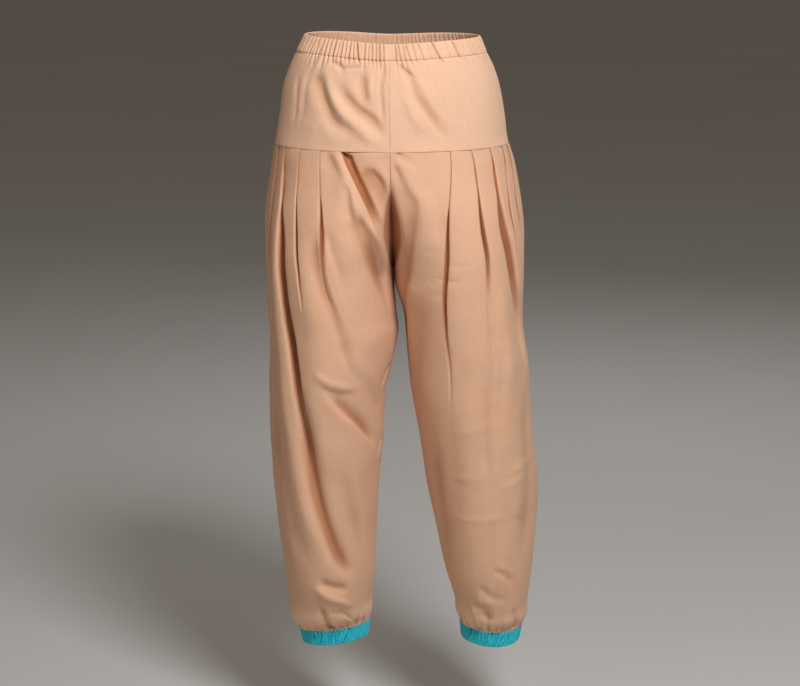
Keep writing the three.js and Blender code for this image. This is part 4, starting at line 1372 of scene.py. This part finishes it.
def run_tree(piece, tree, **inputs):
    """Adds a tree to a piece, sets its inputs by their identifiers, and keeps what it makes."""
    modifier = piece.modifiers.new(tree.name, "NODES")
    modifier.node_group = tree
    ids = {s.name: s.identifier for s in tree.interface.items_tree if s.in_out == "INPUT"}
    for name, value in inputs.items():
        modifier[ids[name]] = value
    apply_modifiers(piece)


# %% Pucker tree
PUCKER_PITCH = 4.6
PUCKER_DEPTH = 0.0034


def pucker_tree():
    """Presses uneven grooves into a band. Pitch is in millimetres, and Depth in metres."""
    nodes = Shaping("puckers", Pitch=PUCKER_PITCH, Depth=PUCKER_DEPTH, Lean=0.0, Seed=0.0)
    pitch, depth, lean, seed = (nodes.given[name] for name in ("Pitch", "Depth", "Lean", "Seed"))

    def named(attribute, kind="FLOAT"):
        node = "GeometryNodeInputNamedAttribute"
        return nodes.add(node, {"data_type": kind}, {"Name": attribute}, "Attribute")

    def noise(x, y, detail):
        place = nodes.add("ShaderNodeCombineXYZ", None, {"X": x, "Y": y})
        sockets = {"Vector": place, "Scale": 1.0, "Detail": detail}
        return nodes.add("ShaderNodeTexNoise", {"noise_dimensions": "2D"}, sockets)

    height = named("height")
    place = (named("around") + height * lean) / pitch
    wander = noise(place * 0.35, seed + height * 0.03, 2.0)
    uneven = noise(place * 0.55, seed + height * 0.06, 1.0)
    ridge = abs(((place + wander * 2.6) * math.pi).sin())
    pressed = depth * (uneven * ((1 - ridge) ** 1.5 * 2.0))
    shift = nodes.add("ShaderNodeVectorMath", {"operation": "SCALE"}, {
        0: named("outwards", "FLOAT_VECTOR"), "Scale": pressed * named("moves") * -1.0,
    })
    moved = nodes.add("GeometryNodeSetPosition", None, {
        "Geometry": nodes.given["Geometry"], "Offset": shift,
    })
    # The mark `inside` is painted shade in the pucker grooves, deepest at their bottoms.
    kept = {"data_type": "FLOAT", "domain": "POINT"}
    marked = nodes.add("GeometryNodeStoreNamedAttribute", kept, {
        "Geometry": moved, "Name": "inside", "Value": pressed / depth * 0.75,
    })
    return nodes.ended(marked)


puckers = pucker_tree()
print("pucker tree:", len(puckers.nodes), "nodes")

# %% Build the cuffs
CUFF_COLUMNS = 620
CUFF_FACES = 19
CUFF_MEASURED_ROW = 9
CUFF_STITCH_ROWS = (-0.62, 0.0, 0.62)
CUFF_ROW_DIP = 0.55
CUFF_ROW_WIDTH = 0.10
CUFF_CALM = 6
INNER_PUCKERS = 0.4


def cuff(half, lean, seed):
    """The folded strip over the elastic at the foot of a leg, dented by its rows of stitches."""
    heights, thick = band_profile(CUFF_BAND, CUFF_FACES)
    middle = FOOT - SEAM_GAP - CUFF_HEIGHT / 2
    girth = section(half, middle).reach
    rows, normals, around, strength = [], [], [], []
    for height, out in zip(heights, thick):
        cut = section(half, middle + height)
        distance = evenly_round(cut, CUFF_COLUMNS)
        share = height / CUFF_BAND.half_height
        dip = sum(math.exp(-(((share - row) / CUFF_ROW_WIDTH) ** 2)) for row in CUFF_STITCH_ROWS)
        slow = 0.35 * np.sin(distance / 13.0 + 2 * seed) + 0.25 * np.sin(distance / 5.1 + seed)
        slow *= smooth(cut.reach - np.abs(distance), 0, CUFF_CALM)
        rows.append(on_section(cut, distance, out * (1 - CUFF_ROW_DIP * dip) + slow))
        normals.append(np.stack([
            np.interp(distance, cut.from_back, cut.normal_x),
            np.interp(distance, cut.from_back, cut.normal_y), np.zeros_like(distance),
        ], -1))
        around.append((distance / cut.reach) * girth)
        strength.append(np.full_like(distance, 1.0 if out >= 0 else INNER_PUCKERS))
    points = np.array(rows)
    uv = band_map(points[CUFF_MEASURED_ROW], heights, thick)
    level = np.repeat(heights[:, None], CUFF_COLUMNS, 1)
    marks = {"around": np.array(around), "height": level, "moves": np.array(strength)}
    name = f"cuff_cloth_{half.name}"
    piece = grid_mesh(name, points, uv, True, True, flip=half.side > 0, marks=marks)
    vector = piece.data.attributes.new("outwards", "FLOAT_VECTOR", "POINT")
    vector.data.foreach_set("vector", np.array(normals).reshape(-1).astype(np.float32))
    run_tree(
        piece, puckers, Pitch=PUCKER_PITCH, Depth=PUCKER_DEPTH, Lean=lean, Seed=seed,
        Material=turquoise_cotton,
    )
    print(f"{name}: {len(piece.data.polygons)} faces, {uv[0, -1, 0]:.3f} m round")
    return piece


cuff_left = cuff(LEFT, 0.3, 1.7)
cuff_right = cuff(RIGHT, -0.35, 4.2)

# %% [markdown]
# ## Stitches
#
# A line of machine stitches shows as short threads, 2 to 3 mm long, that lie in small dents.
# Geometry Nodes follow a path: the path is cut at even steps, and each step gets one short thread,
# turned along the path and a little uneven in size. A mapped texture would be lighter, but it
# wouldn't catch the light, and it would slide where the cloth is gathered.

# %% Stitch tree
STRAND_FACES = 6
UNEVEN_FROM = (0.85, 0.8, 0.8)
UNEVEN_TO = (1.1, 1.15, 1.15)


def stitch_tree():
    """Lays one thread at each step of a path. All sizes are in metres."""
    nodes = Shaping("stitches", Pitch=0.003, Length=0.0025, Thickness=0.00055, Seed=1)
    given = nodes.given
    curve = nodes.add("GeometryNodeMeshToCurve", None, {0: given["Geometry"]})
    steps = nodes.add("GeometryNodeResampleCurve", {"mode": "LENGTH"}, {
        "Curve": curve, "Length": given["Pitch"],
    })
    tangent = nodes.add("GeometryNodeInputTangent")
    turn = nodes.add("FunctionNodeAlignRotationToVector", {"axis": "X"}, {"Vector": tangent})
    uneven = nodes.add("FunctionNodeRandomValue", {"data_type": "FLOAT_VECTOR"}, {
        0: UNEVEN_FROM, 1: UNEVEN_TO, "Seed": given["Seed"],
    })
    strand = nodes.add("GeometryNodeMeshUVSphere", None, {
        "Segments": STRAND_FACES, "Rings": STRAND_FACES, "Radius": 0.5,
    })
    size = nodes.add("ShaderNodeCombineXYZ", None, {
        "X": given["Length"], "Y": given["Thickness"], "Z": given["Thickness"],
    })
    scaled = nodes.add("GeometryNodeTransform", None, {"Geometry": strand, "Scale": size})
    placed = nodes.add("GeometryNodeInstanceOnPoints", None, {
        "Points": steps, "Instance": scaled, "Rotation": turn, "Scale": uneven,
    })
    return nodes.ended(placed)


stitching = stitch_tree()
print("stitch tree:", len(stitching.nodes), "nodes")

# %% Rows of stitches


def stitch_rows(name, paths, material, pitch, length, thickness):
    """Stitches along closed paths, each an array of points, with sizes in millimetres."""
    vertices, edges = [], []
    for path in paths:
        start, count = len(vertices), len(path)
        vertices += (path * MM).tolist()
        edges += [(start + i, start + (i + 1) % count) for i in range(count)]
    mesh = bpy.data.meshes.new(name)
    mesh.from_pydata(vertices, edges, [])
    piece = bpy.data.objects.new(name, mesh)
    collection.objects.link(piece)
    run_tree(
        piece, stitching, Pitch=pitch * MM, Length=length * MM, Thickness=thickness * MM,
        Seed=len(paths), Material=material,
    )
    print(f"{name}: {len(piece.data.polygons)} faces")
    return piece


# %% Stitch the casing and the cuffs
CASING_STITCH_Z = -10.5
CASING_STITCH_OUT = 0.56
CUFF_STITCH_OUT = 0.62
PATH_POINTS = 260


def casing_path(z):
    """The line of stitches round the casing, half sunk in its face and its tucks."""
    out = CASING_BAND.wall / 2 * CASING_STITCH_OUT
    return np.concatenate([
        on_section(cut, distance, out + tucks_out(cut, distance))
        for cut, distance in both_halves(z, PATH_POINTS)
    ])


def cuff_path(half, row):
    """One row of stitches round a cuff, half sunk in its dip."""
    cut = section(half, FOOT - SEAM_GAP - CUFF_HEIGHT / 2 * (1 - row))
    return on_section(cut, evenly_round(cut, PATH_POINTS), CUFF_BAND.wall / 2 * CUFF_STITCH_OUT)


casing_stitches = stitch_rows(
    "casing_stitches", [casing_path(CASING_STITCH_Z)], peach_thread,
    pitch=3.0, length=2.5, thickness=0.55,
)
cuff_stitches = {
    half.name: stitch_rows(
        f"cuff_stitches_{half.name}", [cuff_path(half, row) for row in CUFF_STITCH_ROWS],
        turquoise_thread, pitch=2.6, length=2.2, thickness=0.8,
    )
    for half in (LEFT, RIGHT)
}

# %% [markdown]
# ## Light and floor
#
# A large soft light stands in front of the garment, above it and a little to one side, as in a
# catalogue. A weaker one fills the other side, and pale surroundings lift the shadows. The floor
# is plain and pale, below the cuffs, because the garment is held up at its waist.

# %% Stage
FLOOR_Z = -1.12
FLOOR_HALF = 30.0
FLOOR_TONES = ((0.53, 0.525, 0.515, 1), (0.58, 0.575, 0.565, 1))
SURROUNDINGS = (1.0, 0.84, 0.70, 1)
SURROUNDINGS_STRENGTH = 0.14


def plain_floor():
    corners = [(x * FLOOR_HALF, y * FLOOR_HALF) for x, y in ((-1, -1), (1, -1), (1, 1), (-1, 1))]
    mesh = bpy.data.meshes.new("floor")
    mesh.from_pydata([(x, y, FLOOR_Z) for x, y in corners], [], [(0, 1, 2, 3)])
    floor = bpy.data.objects.new("floor", mesh)
    collection.objects.link(floor)
    finish = Finish("pale_floor")
    place = finish.add("ShaderNodeTexCoord", out=3)
    tone = finish.blend(finish.noise(place, 1.5, 3.0), *FLOOR_TONES)
    mesh.materials.append(finish.show(Base_Color=tone, Roughness=0.9))


def soft_light(name, place, aim_z, size, watts, colour):
    """A round soft light that points at a height on the garment's own axis."""
    data = bpy.data.lights.new(name, "AREA")
    data.shape, data.size, data.energy, data.color = "DISK", size, watts, colour
    light = bpy.data.objects.new(name, data)
    light.location = place
    away = Vector(place) - Vector((0, 0, aim_z))
    light.rotation_euler = away.to_track_quat("Z", "Y").to_euler()
    collection.objects.link(light)


plain_floor()
soft_light("key", (0.86, -2.04, 1.72), -0.35, 0.9, 84, (0.98, 0.985, 0.985))
soft_light("fill", (-1.6, -2.6, 0.5), -0.4, 1.6, 12, (1.0, 0.90, 0.80))
soft_light("back", (0.8, 2.6, 1.4), -0.4, 1.6, 20, (1.0, 0.98, 0.95))
world = bpy.data.worlds.new("surroundings")
world.use_nodes = True
background = world.node_tree.nodes["Background"]
background.inputs["Color"].default_value = SURROUNDINGS
background.inputs["Strength"].default_value = SURROUNDINGS_STRENGTH
bpy.context.scene.world = world
bpy.context.scene.view_settings.view_transform = "Standard"
print("stage ready")

# %% [markdown]
# ## Tying the pieces to the frame
#
# The cloth has no joints, so everything rides on the one body. Each piece of cloth stands for its
# CAD node.

# %% Ride and replace
for piece, node, kind, held, rests in (
    (waist_casing, "waist_casing", "casing", "gathered", ["yoke_cloth_left", "yoke_cloth_right"]),
    (yoke_left, "yoke_left", "yoke", "hung", ["casing_cloth"]),
    (yoke_right, "yoke_right", "yoke", "hung", ["casing_cloth"]),
    (leg_left, "leg_left", "leg", "hung", ["yoke_cloth_left"]),
    (leg_right, "leg_right", "leg", "hung", ["yoke_cloth_right"]),
    (cuff_left, "cuff_left", "cuff", "gathered", ["leg_cloth_left"]),
    (cuff_right, "cuff_right", "cuff", "gathered", ["leg_cloth_right"]),
):
    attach(piece, "root")
    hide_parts(node)
for piece, slot in (
    (casing_stitches, "peach_cloth"), (cuff_stitches["left"], "turquoise_cloth"),
    (cuff_stitches["right"], "turquoise_cloth"),
):
    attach(piece, "root")
